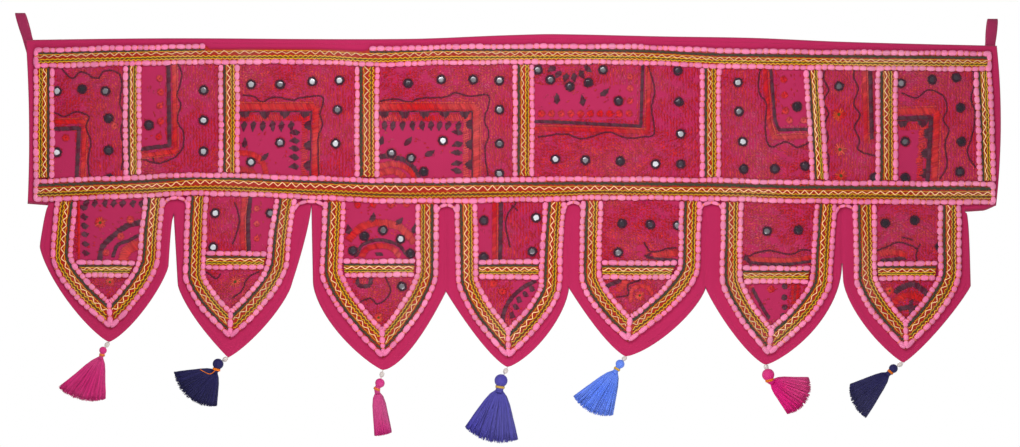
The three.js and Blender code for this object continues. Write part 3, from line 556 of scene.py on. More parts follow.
def stitches(a, b, width, base, rise, shares=SHORT_SHARES):
    """Closed stitches from a to b, arrays of x and z. Their ends are points at base, and each
    share of the way has a three-cornered section whose crest stands rise above base."""
    side = left_of(unit(b - a)) * width / 2
    flat, outs = [a], [base]
    for share in shares:
        place = lerp(a, b, share)
        flat += [place - side, place, place + side]
        outs += [base + CREST_FOOT * rise, base + rise, base + CREST_FOOT * rise]
    places = [on_cloth(*place.T, out) for place, out in zip([*flat, b], [*outs, base])]
    return copies(stitch_faces(len(shares)), np.stack(places, 1))


def path_run(path):
    """How far along a path each of its points lies."""
    return np.concatenate([[0], np.cumsum(np.linalg.norm(np.diff(path, axis=0), axis=1))])


def curve(path, pieces=8):
    """A path of x and z through its points, by a cubic between neighbours."""
    before = np.vstack([2 * path[0] - path[1], path[:-1]])
    after = np.vstack([path[1:], 2 * path[-1] - path[-2]])
    slope = (after - before) / 2
    t = np.linspace(0, 1, pieces, endpoint=False)[:, None]
    parts = [
        (2 * t**3 - 3 * t**2 + 1) * path[i] + (t**3 - 2 * t**2 + t) * slope[i]
        + (3 * t**2 - 2 * t**3) * path[i + 1] + (t**3 - t**2) * slope[i + 1]
        for i in range(len(path) - 1)
    ]
    return np.vstack([*parts, path[-1:]])


def walk(path, step, smooth=True):
    """Places every step along a path of x and z, on a curve through its points or straight
    between them, with the way along at each."""
    path = np.asarray(path, float)
    if smooth and len(path) > 2:
        path = curve(path, WALK_PIECES)
    run = path_run(path)
    at = np.linspace(0, run[-1], max(2, round(run[-1] / step) + 1))
    places = np.stack([np.interp(at, run, path[:, i]) for i in range(2)], 1)
    return places, unit(np.gradient(places, axis=0))


def inside(polygon, x, z):
    """Whether each place lies inside a closed line of x and z, by how often a ray crosses it."""
    crossed = np.zeros(np.shape(x), bool)
    for (x0, z0), (x1, z1) in zip(polygon, np.roll(polygon, -1, axis=0)):
        spans = (z0 > z) != (z1 > z)
        crossed ^= spans & (x < (x1 - x0) * (z - z0) / (z1 - z0 + 1e-12) + x0)
    return crossed


def pennant_side(pennant, side, parting, z):
    """x of a pennant's edge at z: straight down from its parting, then towards its knee by the
    power fall, then in to the point by the powers swell and blunt."""
    knee_x, knee_z, fall, swell, blunt = pennant[side]
    tip_x, tip_z = pennant["tip"]
    px, pz = parting
    down = np.clip((pz - z) / (pz - knee_z), 0, 1) if pz > knee_z + 1 else np.ones_like(z)
    upper = lerp(px, knee_x, down**fall)
    up = np.clip((z - tip_z) / (knee_z - tip_z), 0, 1)
    lower = lerp(tip_x, knee_x, (1 - (1 - up) ** swell) ** blunt)
    return np.where(z >= pz, px, np.where(z >= knee_z, upper, lower))


def bowed(end, v):
    """x of an end of the heading, v of the way down: straight from top to foot, with a bow of
    4 v (1 - v) that passes through the middle."""
    top, middle, foot = end
    return lerp(top, foot, v) + 4 * (middle - (top + foot) / 2) * v * (1 - v)


EDGE_SHARES = np.array([0, 0.008, 0.022])  # close rows beside an edge, so that it can be round
END_STEPS = np.array([0, 0.9, 2.6])  # close columns beside the ends of the heading
COLUMN_STEP = 4.0
PENNANT_COLUMNS = 29
HEADING_ROWS = 34
TIP_ROWS = 18


def close_ended(count):
    """Shares from 0 to 1, even but for close ones at both ends."""
    even = np.linspace(0, 1, count + 1)[1:-1]
    even = even[(even > 0.03) & (even < 0.97)]
    return np.concatenate([EDGE_SHARES, even, 1 - EDGE_SHARES[::-1]])


def heading_grid(shares):
    """The heading's x and z: columns at the shares between the partings and a few beyond the
    outer ones, rows from its top edge to its foot."""
    first, last = HEADING_FOOT[0][0], HEADING_FOOT[-1][0]
    columns = [first + END_STEPS, np.linspace(first + 6, PARTINGS[0][0], 5)[:-1]]
    for (left, _), (right, _) in zip(PARTINGS[:-1], PARTINGS[1:]):
        columns.append(lerp(left, right, shares[:-1]))
    columns += [np.linspace(PARTINGS[-1][0], last - 6, 8), last - END_STEPS[::-1]]
    column = np.concatenate(columns)
    v = np.concatenate([EDGE_SHARES, np.linspace(0.04, 1, HEADING_ROWS)])[:, None]
    x = lerp(bowed(LEFT_END, v), bowed(RIGHT_END, v), (column - first) / (last - first))
    x[-1] = column
    return x, lerp(top_edge(x), heading_foot(column) + 0 * v, v)


def backing_grids():
    """The cloth as grids of x and z that meet along shared lines: one for the heading, and one
    for each pennant, whose upper rows all lie at the same heights."""
    shares = close_ended(PENNANT_COLUMNS)
    grids = [heading_grid(shares)]
    shared = PARTINGS[1][1]
    steps = [z for _, z in PARTINGS if z < shared - 0.1]
    even = np.arange(shared, min(steps), -COLUMN_STEP)
    clear = {z for z in even if min(abs(z - s) for s in steps) > 1}
    levels = np.array(sorted({*steps, *clear}, reverse=True))
    blend = np.linspace(0, 1, 4)[:, None]
    ease = 1 - (1 - np.linspace(0, 1, TIP_ROWS + 1)[1:]) ** 1.5
    for pennant, before, after in zip(PENNANTS, PARTINGS[:-1], PARTINGS[1:]):
        column = lerp(before[0], after[0], shares)
        upper = lerp(heading_foot(column), shared, blend)
        lower = lerp(levels[-1], pennant["tip"][1], ease)
        below = np.concatenate([levels[levels < shared], lower])
        z = np.vstack([upper, below[:, None] + 0 * column])
        x = lerp(pennant_side(pennant, "left", before, z), pennant_side(pennant, "right", after, z), shares)
        x[0] = column
        grids.append((x, z))
    return grids


def welded(grids):
    """One flat surface from grids of x and z: equal places merged, faces without area left out."""
    places, faces, start = [], [], 0
    for x, z in grids:
        places.append(np.stack([x.ravel(), z.ravel()], 1))
        faces.append(grid_faces(*x.shape) + start)
        start += x.size
    places, faces = np.concatenate(places), np.concatenate(faces)
    _, kept, merged = np.unique(np.round(places, 3), axis=0, return_index=True, return_inverse=True)
    places, faces = places[kept], merged.ravel()[faces]
    return places, faces[(faces != np.roll(faces, 1, axis=1)).all(1)]


def rim_edges(faces):
    """The directed edges that only one face has."""
    edges = np.concatenate([faces[:, [0, 1]], faces[:, [1, 2]], faces[:, [2, 0]]])
    _, first, count = np.unique(np.sort(edges, 1), axis=0, return_index=True, return_counts=True)
    return edges[first[count == 1]]


def two_faced(places, faces, front, back, rounded=False):
    """A closed sheet over flat places: its front and back stand at the given outs. The rim is
    one line halfway between them where rounded, else a wall."""
    x, z = places.T
    rim = rim_edges(faces)
    if rounded:
        edge = np.unique(rim)
        middle = (front + back) / 2
        front = front.copy()
        front[edge] = middle[edge]
        link = np.arange(len(places)) + len(places)
        link[edge] = edge
        points = np.concatenate([on_cloth(x, z, front), on_cloth(x, z, back)])
        faces = np.concatenate([faces, link[faces[:, ::-1]]])
        used, faces = np.unique(faces, return_inverse=True)
        points, faces = points[used], faces.reshape(-1, 3)
    else:
        points = np.concatenate([on_cloth(x, z, front), on_cloth(x, z, back)])
        a, b = rim.T
        n = len(places)
        walls = np.concatenate([np.stack([b, a, a + n], 1), np.stack([b, a + n, b + n], 1)])
        faces = np.concatenate([faces, faces[:, ::-1] + n, walls])
    return points, facing_out(points, faces)


def nearest(places, others):
    """How far each place is from the nearest of the others."""
    result = [
        np.sqrt(((part[:, None] - others[None]) ** 2).sum(-1).min(1))
        for part in np.array_split(places, max(1, len(places) // NEAREST_BATCH))
    ]
    return np.concatenate(result)


def heading_place(x, v, inset):
    """z in the heading from under the top trim to over the bottom one, pulled in by inset."""
    top = top_line(x) - TOP_WIDE / 2 - inset
    foot = bottom_line(x) + BOTTOM_WIDE / 2 + inset
    return lerp(top, foot, v)


def pennant_legs(trim):
    """A pennant trim's two legs from their tops to the tip: middle places, and the ways inwards
    whose length keeps the width even where the line bends."""
    half_foot = BOTTOM_WIDE / 2 + 2 * GAP
    tip = np.array(trim["tip"], float)
    t, up = np.linspace(0, 1, 4), np.array(LEG_STATIONS)
    lines = []
    for side in ("left", "right"):
        top_x, knee_x, knee_z = trim[side]
        top_z = float(bottom_line(top_x)) - half_foot
        fallen, grown = t * (1 + LEG_BOW * (1 - t)), 1 - (1 - up) ** KNEE_SWELL
        lines.append(np.vstack([
            np.stack([lerp(top_x, knee_x, fallen), lerp(top_z, knee_z, t)], 1),
            np.stack([lerp(tip[0], knee_x, grown), lerp(tip[1], knee_z, up)], 1),
        ]))
    line = np.vstack([lines[0], tip[None], lines[1][::-1]])
    heading = unit(np.diff(line, axis=0))
    before = np.vstack([heading[:1], heading])
    along = before + np.vstack([heading, heading[-1:]])
    along[0], along[-1] = (0, -1), (0, 1)
    along = unit(along)
    inward = left_of(along) / np.maximum((along * before).sum(1), 0.5)[:, None]
    n = len(lines[0]) + 1
    return (line[:n], inward[:n]), (line[::-1][:n], inward[::-1][:n])


def leg_x(leg, inwards, z):
    """x at height z of a leg's line moved inwards."""
    line, inward = leg
    moved = (line + inward * inwards)[::-1]
    order = np.argsort(moved[:, 1])
    return np.interp(z, moved[order, 1], moved[order, 0])


def trim_drop(x):
    """How much wider the bottom trim has been stitched on its lower side."""
    return np.interp(x, *zip(*BOTTOM_DROP))


def one_run(low, high, wide, green, over, drop=0.0):
    """A run of trim between a low and a high lane, which are its two sides: its width, the side
    that its dark line lies on, whether a patch lies under each side, and how far it starts below
    its lanes' tops."""
    return {"low": low, "high": high, "wide": wide, "green": green, "over": over, "drop": drop}


def trim_runs():
    """Every trim's runs by name."""
    runs = {}
    for name, line, rows, wide, over in (
        ("trim_top", top_line, TOP_LINE, TOP_WIDE, (1, 0)),
        ("trim_bottom", bottom_line, BOTTOM_LINE, BOTTOM_WIDE, (1, 1)),
    ):
        x = np.linspace(rows[0][0], rows[-1][0], LONG_STATIONS)
        drop = trim_drop(x) if name == "trim_bottom" else 0
        low, high = line(x) - wide / 2 - drop, line(x) + wide / 2
        runs[name] = [one_run(np.stack([x, low], 1), np.stack([x, high], 1), wide, 1, over)]
    v = np.linspace(0, 1, UPRIGHT_STATIONS)
    last = len(UPRIGHTS) - 1
    for i, row in enumerate(UPRIGHTS):
        lanes = []
        for across in (-row["wide"] / 2, row["wide"] / 2):
            x = lerp(row["top"], row["foot"], v) + across
            lanes.append(np.stack([x, heading_place(x, v, GAP)], 1))
        name = {0: "trim_end_left", last: "trim_end_right"}.get(i, f"trim_divider_{i}")
        runs[name] = [one_run(*lanes, row["wide"], row["green"], (i > 0, i < last))]
    for i, row in enumerate(PENNANT_TRIMS, 1):
        legs = pennant_legs(row)
        half = row["wide"] / 2
        runs[f"pennant_trim_{i}"] = [
            one_run(curve(line - inward * half), curve(line + inward * half), row["wide"], green, (0, 1),
                    float(trim_drop(line[0, 0])))
            for (line, inward), green in zip(legs, row["green"])
        ]
        bar_z, bar_wide = row["bar"]
        lanes = []
        for z in (bar_z - bar_wide / 2, bar_z + bar_wide / 2):
            x = np.linspace(leg_x(legs[0], half, z) + GAP, leg_x(legs[1], half, z) - GAP, BAR_STATIONS)
            lanes.append(np.stack([x, np.full(len(x), z)], 1))
        runs[f"pennant_bar_{i}"] = [one_run(*lanes, bar_wide, 1, (1, 1))]
    return runs


def run_long(run):
    """How far along a run's middle each of its stations lies."""
    return path_run((run["low"] + run["high"]) / 2)


def lane(run, far, across):
    """x and z on a run, far along its middle and across it from its low side to its high one."""
    at = run_long(run)
    low = np.stack([np.interp(far, at, column) for column in run["low"].T], -1)
    high = np.stack([np.interp(far, at, column) for column in run["high"].T], -1)
    return lerp(low, high, (np.asarray(across) / run["wide"] + 0.5)[..., None])


def linear(r, g, b):
    """A colour given as three numbers of 0 to 255, in the linear values that shaders take: the
    low ones over 12.92, and the others by the power 2.4."""
    c = np.array([r, g, b]) / 255
    c = np.where(c <= 0.04045, c / 12.92, ((c + 0.055) / 1.055) ** 2.4)
    return (*(float(v) for v in c), 1.0)


def feed(node, inputs):
    """Sets each of a node's inputs to a value, or links it to another node's output. Gives back
    the node's outputs."""
    for key, value in inputs.items():
        if isinstance(value, bpy.types.NodeSocket):
            node.id_data.links.new(value, node.inputs[key])
        else:
            node.inputs[key].default_value = value
    return node.outputs


def maths(group, operation, *values):
    """The result of a math node over values and other nodes' outputs."""
    node = group.nodes.new("ShaderNodeMath")
    node.operation = operation
    return feed(node, dict(enumerate(values)))[0]


def noise(group, place, scale):
    """A smooth noise over the place."""
    return feed(group.nodes.new("ShaderNodeTexNoise"), {"Vector": place, "Scale": scale})["Fac"]


def shared_group(name, inputs, wire):
    """A node group, made on its first use: an input for each row of kind, name and default, and
    a colour and a height as outputs, which wire gives from the group and its inputs."""
    group = bpy.data.node_groups.get(name)
    if group:
        return group
    group = bpy.data.node_groups.new(name, "ShaderNodeTree")
    for kind, label, default in inputs:
        made = group.interface.new_socket(name=label, in_out="INPUT", socket_type=f"NodeSocket{kind}")
        if default is not None:
            made.default_value = default
    for kind, label in (("Color", "Colour"), ("Float", "Height")):
        group.interface.new_socket(name=label, in_out="OUTPUT", socket_type=f"NodeSocket{kind}")
    colour, height = wire(group, group.nodes.new("NodeGroupInput").outputs)
    feed(group.nodes.new("NodeGroupOutput"), {"Colour": colour, "Height": height})
    return group


def fibre_wiring(group, given):
    """Spun thread: the colour is lighter or darker by the thread's own shade and along fine
    streaks, and faded a little in wide patches. Height holds the fine streaks."""
    fine = noise(group, given["Place"], given["Fineness"])
    wide = noise(group, given["Place"], 14)
    centred = maths(group, "SUBTRACT", given["Shade"], 0.5)
    shade = maths(group, "MULTIPLY_ADD", centred, given["Spread"], 0.86)
    faded = feed(group.nodes.new("ShaderNodeMapRange"), {
        "Value": wide, "From Min": 0.35, "From Max": 0.7, "To Min": 1.06, "To Max": 0.92,
    })["Result"]
    value = maths(group, "MULTIPLY_ADD", fine, 0.3, shade)
    turned = group.nodes.new("ShaderNodeHueSaturation")
    return feed(turned, {"Color": given["Colour"], "Value": value, "Saturation": faded})["Color"], fine


def weave_wiring(group, given):
    """Plain weave: a chequer of raised threads, the product of a sine across and a sine down,
    with slubs. The colour carries painted shade, darker in the hollows, and is faded in wide patches."""
    scaled = group.nodes.new("ShaderNodeVectorMath")
    scaled.operation = "SCALE"
    feed(scaled, {"Vector": given["Place"], "Scale": maths(group, "MULTIPLY", given["Threads"], math.pi)})
    parts = feed(group.nodes.new("ShaderNodeSeparateXYZ"), {"Vector": scaled.outputs[0]})
    across, down = (maths(group, "SINE", parts[axis]) for axis in ("X", "Z"))
    slub = noise(group, given["Place"], 260)
    height = maths(group, "ADD", maths(group, "MULTIPLY", across, down), slub)
    amount = maths(group, "MULTIPLY", noise(group, given["Place"], 9), given["Fading"])
    # Painted shade: the colour darkens a little in the hollows of the weave.
    value = maths(group, "MULTIPLY_ADD", height, 0.05, maths(group, "SUBTRACT", 1.0, amount))
    turned = group.nodes.new("ShaderNodeHueSaturation")
    return feed(turned, {"Color": given["Colour"], "Value": value})["Color"], height


def fibre_group():
    """The group of spun thread."""
    return shared_group("Fibre", [
        ("Vector", "Place", None), ("Float", "Shade", 0.5), ("Color", "Colour", None),
        ("Float", "Spread", 0.4), ("Float", "Fineness", 900.0),
    ], fibre_wiring)


def weave_group():
    """The group of plain weave."""
    return shared_group("Weave", [
        ("Vector", "Place", None), ("Color", "Colour", None), ("Float", "Threads", 1400.0),
        ("Float", "Fading", 0.1),
    ], weave_wiring)


def material(name, colour, group, rough=0.7, sheen=0.0, bump=0.35, deep=0.0003, metal=0.0, coat=0.0,
             gloss=0.2, **values):
    """A material of one of the shared groups, on Object coordinates and the "shade" attribute."""
    made = bpy.data.materials.get(name)
    if made:
        return made
    made = bpy.data.materials.new(name)
    made.use_nodes = True
    nodes = made.node_tree.nodes
    used = nodes.new("ShaderNodeGroup")
    used.node_tree = group
    feed(used, {"Colour": colour, "Place": nodes.new("ShaderNodeTexCoord").outputs["Object"], **values})
    if "Shade" in used.inputs:
        shade = nodes.new("ShaderNodeAttribute")
        shade.attribute_name = "shade"
        feed(used, {"Shade": shade.outputs["Fac"]})
    relief = feed(nodes.new("ShaderNodeBump"), {
        "Strength": bump, "Distance": deep, "Height": used.outputs["Height"],
    })["Normal"]
    feed(nodes["Principled BSDF"], {
        "Base Color": used.outputs["Colour"], "Normal": relief, "Roughness": rough, "Metallic": metal,
        "Specular IOR Level": gloss, "Sheen Weight": sheen, "Coat Weight": coat,
    })
    return made


# How far the shade of single stitches spreads in a thread, where it isn't the common 0.4.
THREAD_SPREADS = {"dark": 0.8, "crimson": 0.38, "pink": 0.22, "ring": 0.5}


def panel_colour(name):
    """A colour of the panel, with its fourth value."""
    return (*getattr(bpy.context.scene.toran_colours, name), 1.0)


def thread(name):
    """The material of one thread, by its colour in the panel."""
    return material(f"{name}_thread", panel_colour(name), fibre_group(), rough=0.6, sheen=0.06, gloss=0.28,
                    Spread=THREAD_SPREADS.get(name, 0.4))


def add_piece(name, bodies, node=None):
    """One object from bodies, which are tuples of points in millimetres, faces, a material and
    a shade for each body or point. It rides on the object's one body."""
    points = np.concatenate([b[0] for b in bodies])
    sizes = [len(b[0]) for b in bodies]
    starts = np.concatenate([[0], np.cumsum(sizes)[:-1]])
    faces = np.concatenate([b[1] + s for b, s in zip(bodies, starts)]).astype(np.int32)
    shades = np.concatenate([np.broadcast_to(b[3], n) for b, n in zip(bodies, sizes)])
    used = list({b[2].name: b[2] for b in bodies}.values())
    index = np.concatenate([np.full(len(b[1]), used.index(b[2])) for b in bodies])
    mesh = bpy.data.meshes.new(name)
    mesh.vertices.add(len(points))
    mesh.vertices.foreach_set("co", (points * MM).astype(np.float32).ravel())
    mesh.loops.add(faces.size)
    mesh.loops.foreach_set("vertex_index", faces.ravel())
    mesh.polygons.add(len(faces))
    mesh.polygons.foreach_set("loop_start", np.arange(len(faces), dtype=np.int32) * 3)
    mesh.polygons.foreach_set("material_index", index.astype(np.int32))
    mesh.polygons.foreach_set("use_smooth", np.ones(len(faces), bool))
    mesh.update(calc_edges=True)
    shade = mesh.attributes.new("shade", "FLOAT", "POINT")
    shade.data.foreach_set("value", shades.astype(np.float32))
    for one in used:
        mesh.materials.append(one)
    made = bpy.data.objects.new(name, mesh)
    bpy.context.scene.collection.objects.link(made)
    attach(made, "root")
    if node:
        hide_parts(node)
    return made


def make_backing():
    """The backing cloth: a closed sheet with a turned hem, a sunk seam between joined pennants
    and a row of hem stitches. The hem's rise falls to nothing over HEM_FADE, and the seam is a
    bell across its line."""
    places, faces = welded(backing_grids())
    x, z = places.T
    away = nearest(places, places[np.unique(rim_edges(faces))])
    hem = HEM_RISE * (1 - np.clip((away - HEM_WIDE) / HEM_FADE, 0, 1))
    seam = np.zeros(len(places))
    for px, pz in PARTINGS[1:-1]:
        near = np.exp(-(((x - px) / SEAM_HALF) ** 2)) * (z < SEAM_TOP) * (z >= pz - 1)
        seam += SEAM_SINK * near
    thick = bpy.context.scene.toran_cloth.backing_thick / MM
    sheet = two_faced(places, faces, hem - seam, -thick - 0.3 * hem, rounded=True)
    look = material("backing_cotton", panel_colour("backing"), weave_group(), rough=0.85, sheen=0.15,
                    bump=0.25, deep=0.0002, Fading=0.16)
    piece = add_piece("hung_backing", [(*sheet, look, 0.5)], "backing_cloth")
    rng = np.random.default_rng(5)
    rows = [stitch_row(row, HEM_STITCH_STEP, 0.7, HEM_RISE - 0.05, 0.4, rng) for row in hem_rows()]
    hem_piece = add_piece("hem_stitches", [(*row, thread("magenta"), 0.45) for row in rows])


def hem_rows():
    """Paths of x and z along the cloth's edge, HEM_INSET in from it."""
    x = np.linspace(-492, 494, 200)
    rows = [np.stack([x, top_edge(x) - HEM_INSET], 1)]
    v = np.linspace(0.05, 1, 40)
    for end, way in ((LEFT_END, 1), (RIGHT_END, -1)):
        rows.append(np.stack([bowed(end, v) + way * HEM_INSET, lerp(-6, -174 + HEM_INSET, v)], 1))
    last = len(PENNANTS)
    for i, pennant in enumerate(PENNANTS):
        for side, number, way in (("left", i, 1), ("right", i + 1, -1)):
            parting = PARTINGS[number]
            start = parting[1] - (3 if number in (0, last) else 8)
            z = np.linspace(start, pennant["tip"][1] + 9, 60)
            x = pennant_side(pennant, side, parting, z)
            slope = unit(np.stack([np.gradient(x), np.gradient(z)], 1))
            rows.append(np.stack([x, z], 1) + way * HEM_INSET * left_of(slope))
    return rows


def stitch_row(path, long, width, base, rise, rng):
    """Running stitches end to end along a path, with a gap of ROW_GAP of each step."""
    places, _ = walk(path, long, smooth=False)
    middle = (places[:-1] + places[1:]) / 2
    way = places[1:] - places[:-1]
    half = way * (1 - ROW_GAP) / 2 * rng.uniform(0.85, 1.1, (len(way), 1))
    return stitches(middle - half, middle + half, width, base, rise)


def patch_shapes():
    """Every patch as a grid of x and z by name, with the place that its work is measured from."""
    shapes = {}
    v = np.linspace(0, 1, PATCH_ROWS)[:, None]
    for i, (before, after) in enumerate(zip(UPRIGHTS[:-1], UPRIGHTS[1:]), 1):
        left = lerp(before["top"], before["foot"], v) + before["wide"] / 2 - TUCK
        right = lerp(after["top"], after["foot"], v) - after["wide"] / 2 + TUCK
        columns = max(8, round(float(right[0, 0] - left[0, 0]) / PATCH_COLUMN_STEP))
        x = lerp(left, right, np.linspace(0, 1, columns))
        origin = (before["top"] + before["wide"] / 2, WORK_TOP)
        shapes[f"heading_{i}"] = (x, heading_place(x, v, -TUCK), origin)
    for i, row in enumerate(PENNANT_TRIMS, 1):
        legs = pennant_legs(row)
        half = row["wide"] / 2
        inwards = half - TUCK
        bar_z, bar_wide = row["bar"]
        bar_top, bar_foot = bar_z + bar_wide / 2, bar_z - bar_wide / 2
        middle = (row["left"][0] + row["right"][0]) / 2
        top = float(bottom_line(middle)) - BOTTOM_WIDE / 2
        line, inward = legs[0]
        point = line[-1, 1] + inward[-1, 1] * inwards + 1.5
        for part, high, low, rows, columns, origin in (
            ("upper", top + TUCK, bar_top - TUCK, 21, 25, (row["left"][0] + half, top)),
            ("lower", bar_foot + TUCK, point, 20, 24, (row["tip"][0], bar_foot)),
        ):
            z = np.linspace(high, low, rows)[:, None]
            x = lerp(leg_x(legs[0], inwards, z), leg_x(legs[1], inwards, z), np.linspace(0, 1, columns))
            shapes[f"{part}_{i}"] = (x, z + 0 * x, origin)
    return shapes


STITCH_LONG = 4.2
STITCH_APART = 1.6
STITCH_STEP = 3.1
STRAY_SHARE = 0.06  # of the stitches in a plain box, those that are still sewn
GUIDE_STEP = 4.0
SCALLOP_LONG = 20.7
UNEVEN = (0.78, 1.16)  # between which the halves of a band's stitches lie
MIRROR_RADIUS = 3.5
MIRROR_SIDES = 9
MIRROR_RINGS = ((1.0, PATCH_FACE - 0.1), (1.0, 1.52), (0.92, 1.62), (0.45, 1.68))
# Each mirror's material name, colour and metal. The colours are painted reflections: dark, grey and bright
# glass stand in for what the mirrors reflect.
MIRROR_PAINTED_REFLECTIONS = (
    ("mirror_painted_dark_reflection", (0.085, 0.06, 0.08, 1), 0.5),
    ("mirror_painted_grey_reflection", (0.3, 0.28, 0.31, 1), 0.45),
    ("mirror_painted_bright_reflection", (0.74, 0.75, 0.8, 1), 0.2),
)


def flow(places, guides, seed):
    """The way of the ground stitches at each place, as an angle: along the nearest band, or
    level where a patch has none, turned a little by slow sines."""
    x, z = places.T
    turn = 0.3 * np.sin(x / 19 + seed) + 0.25 * np.sin(z / 13 + 1.7 * seed)
    if not guides:
        return turn
    points = np.concatenate([g for g, _ in guides])
    ways = np.concatenate([w for _, w in guides])
    close = ((places[:, None] - points[None]) ** 2).sum(-1).argmin(1)
    return np.arctan2(ways[close, 1], ways[close, 0]) + turn


def in_box(places, left, top, right, foot):
    """Whether each place lies inside a box."""
    x, z = places.T
    return (x > left) & (x < right) & (z < top) & (z > foot)


def ground_stitches(x, z, plain, holes, guides, seed, rng):
    """Short stitches all over the worked ground: a shaken grid of places, each stitch along
    the flow, hardly any in the plain boxes and none over the mirrors. Their tone is a slow sine
    each way, clumps by sines of sines, and chance."""
    grid = np.stack([x, z], -1)
    outline = np.concatenate([grid[0], grid[:, -1], grid[-1, ::-1], grid[::-1, 0]])
    low, high = outline.min(0) + 2, outline.max(0) - 1
    across, down = (np.arange(low[i], high[i], step) for i, step in ((0, STITCH_STEP), (1, STITCH_APART)))
    places = np.stack([part.ravel() for part in np.meshgrid(across, down)], 1)
    places = places + rng.uniform(-0.8, 0.8, places.shape)
    keep = inside(outline, *places.T)
    for box in plain:
        keep &= ~in_box(places, *box) | (rng.random(len(places)) < STRAY_SHARE)
    for hx, hz, radius in holes:
        keep &= np.hypot(places[:, 0] - hx, places[:, 1] - hz) > radius
    places = places[keep]
    angle = flow(places, guides, seed) + rng.normal(0, 0.15, len(places))
    way = np.stack([np.cos(angle), np.sin(angle)], 1) * STITCH_LONG / 2
    way = way * rng.uniform(0.7, 1.15, (len(places), 1))
    px, pz = places.T
    broad = 0.35 * np.sin(px / 23 + seed) + 0.35 * np.sin(pz / 19 + 2 * seed)
    clumps = np.sin(px / 4.1 + 1.8 * np.sin(pz / 5.1 + seed)) + np.sin(pz / 2.4 + 1.6 * np.sin(px / 6.3))
    return places - way, places + way, broad + 0.6 * clumps + rng.normal(0, 0.3, len(places))


def band_stitches(path, wide, apart, lean, rng, swell=0.0, smooth=True, shift=0.0):
    """Satin stitches side by side across a path, each leaning along it, moved to its left by
    shift, their halves uneven. The right halves swell by a power of the sine along the path,
    which makes scallops."""
    places, along = walk(path, apart, smooth=smooth)
    side = left_of(along)
    places = places + side * shift
    bulge = np.sin(2 * np.pi * (np.arange(len(places)) * apart / SCALLOP_LONG - 0.1))
    far = wide / 2 + swell * np.maximum(bulge, 0) ** 0.6
    far = (far * rng.uniform(*UNEVEN, len(places)))[:, None]
    tilt = along * lean * rng.uniform(0.6, 1.4, (len(places), 1))
    near = wide / 2 * rng.uniform(*UNEVEN, (len(places), 1))
    return places + side * near - tilt, places - side * far + tilt


def leaf_stitches(places, long, way, rng, wide=7.6, count=9):
    """Leaves of satin stitches, one leaf for each place, each pointing along way, in radians
    from straight up and turning towards the right: stitches across it, as wide as the sine of
    a power of the share along it."""
    share = np.linspace(0.05, 0.95, count)
    along = np.stack([np.sin(way), np.cos(way)], -1)[:, None]
    side = -left_of(along)
    half = wide / 2 * np.sin(np.pi * share**0.75)[:, None] * rng.uniform(0.7, 1.15, (len(places), count, 1))
    middle = places[:, None] + along * long * share[:, None]
    lean = along * 0.9
    return (middle - side * half - lean).reshape(-1, 2), (middle + side * half + lean).reshape(-1, 2)


def wheel_stitches(centre, inner, outer, count, rng):
    """Stitches round a centre like spokes, from inner to outer, both a little uneven."""
    angle = turns(count) + rng.uniform(0, 1)
    way = np.stack([np.cos(angle), np.sin(angle)], 1)
    near = way * inner * rng.uniform(0.85, 1.15, (count, 1))
    far = way * outer * rng.uniform(0.88, 1.08, (count, 1))
    return centre + near, centre + far


def mirror_disc(x, z, rng):
    """A small mirror cut by hand, with a rounded rim and a little tilted: an uneven polygon
    carried through rings, each a share of its reach and an out."""
    turn = turns(MIRROR_SIDES) + rng.uniform(-0.2, 0.2, MIRROR_SIDES)
    reach = MIRROR_RADIUS * rng.uniform(0.84, 1.05, MIRROR_SIDES)
    tilt = rng.uniform(-0.05, 0.05, 2)
    rings = []
    for share, out in MIRROR_RINGS:
        across, up = reach * share * np.cos(turn), reach * share * np.sin(turn)
        lift = (across * tilt[0] + up * tilt[1]) * (out > PATCH_FACE)
        rings.append(np.stack([x + across, cloth(x, z) - out - lift, z + up], 1))
    return swept(np.array(rings))


def chosen(pair, which):
    """The chosen ones of the stitches between a pair of ends."""
    return pair[0][which], pair[1][which]


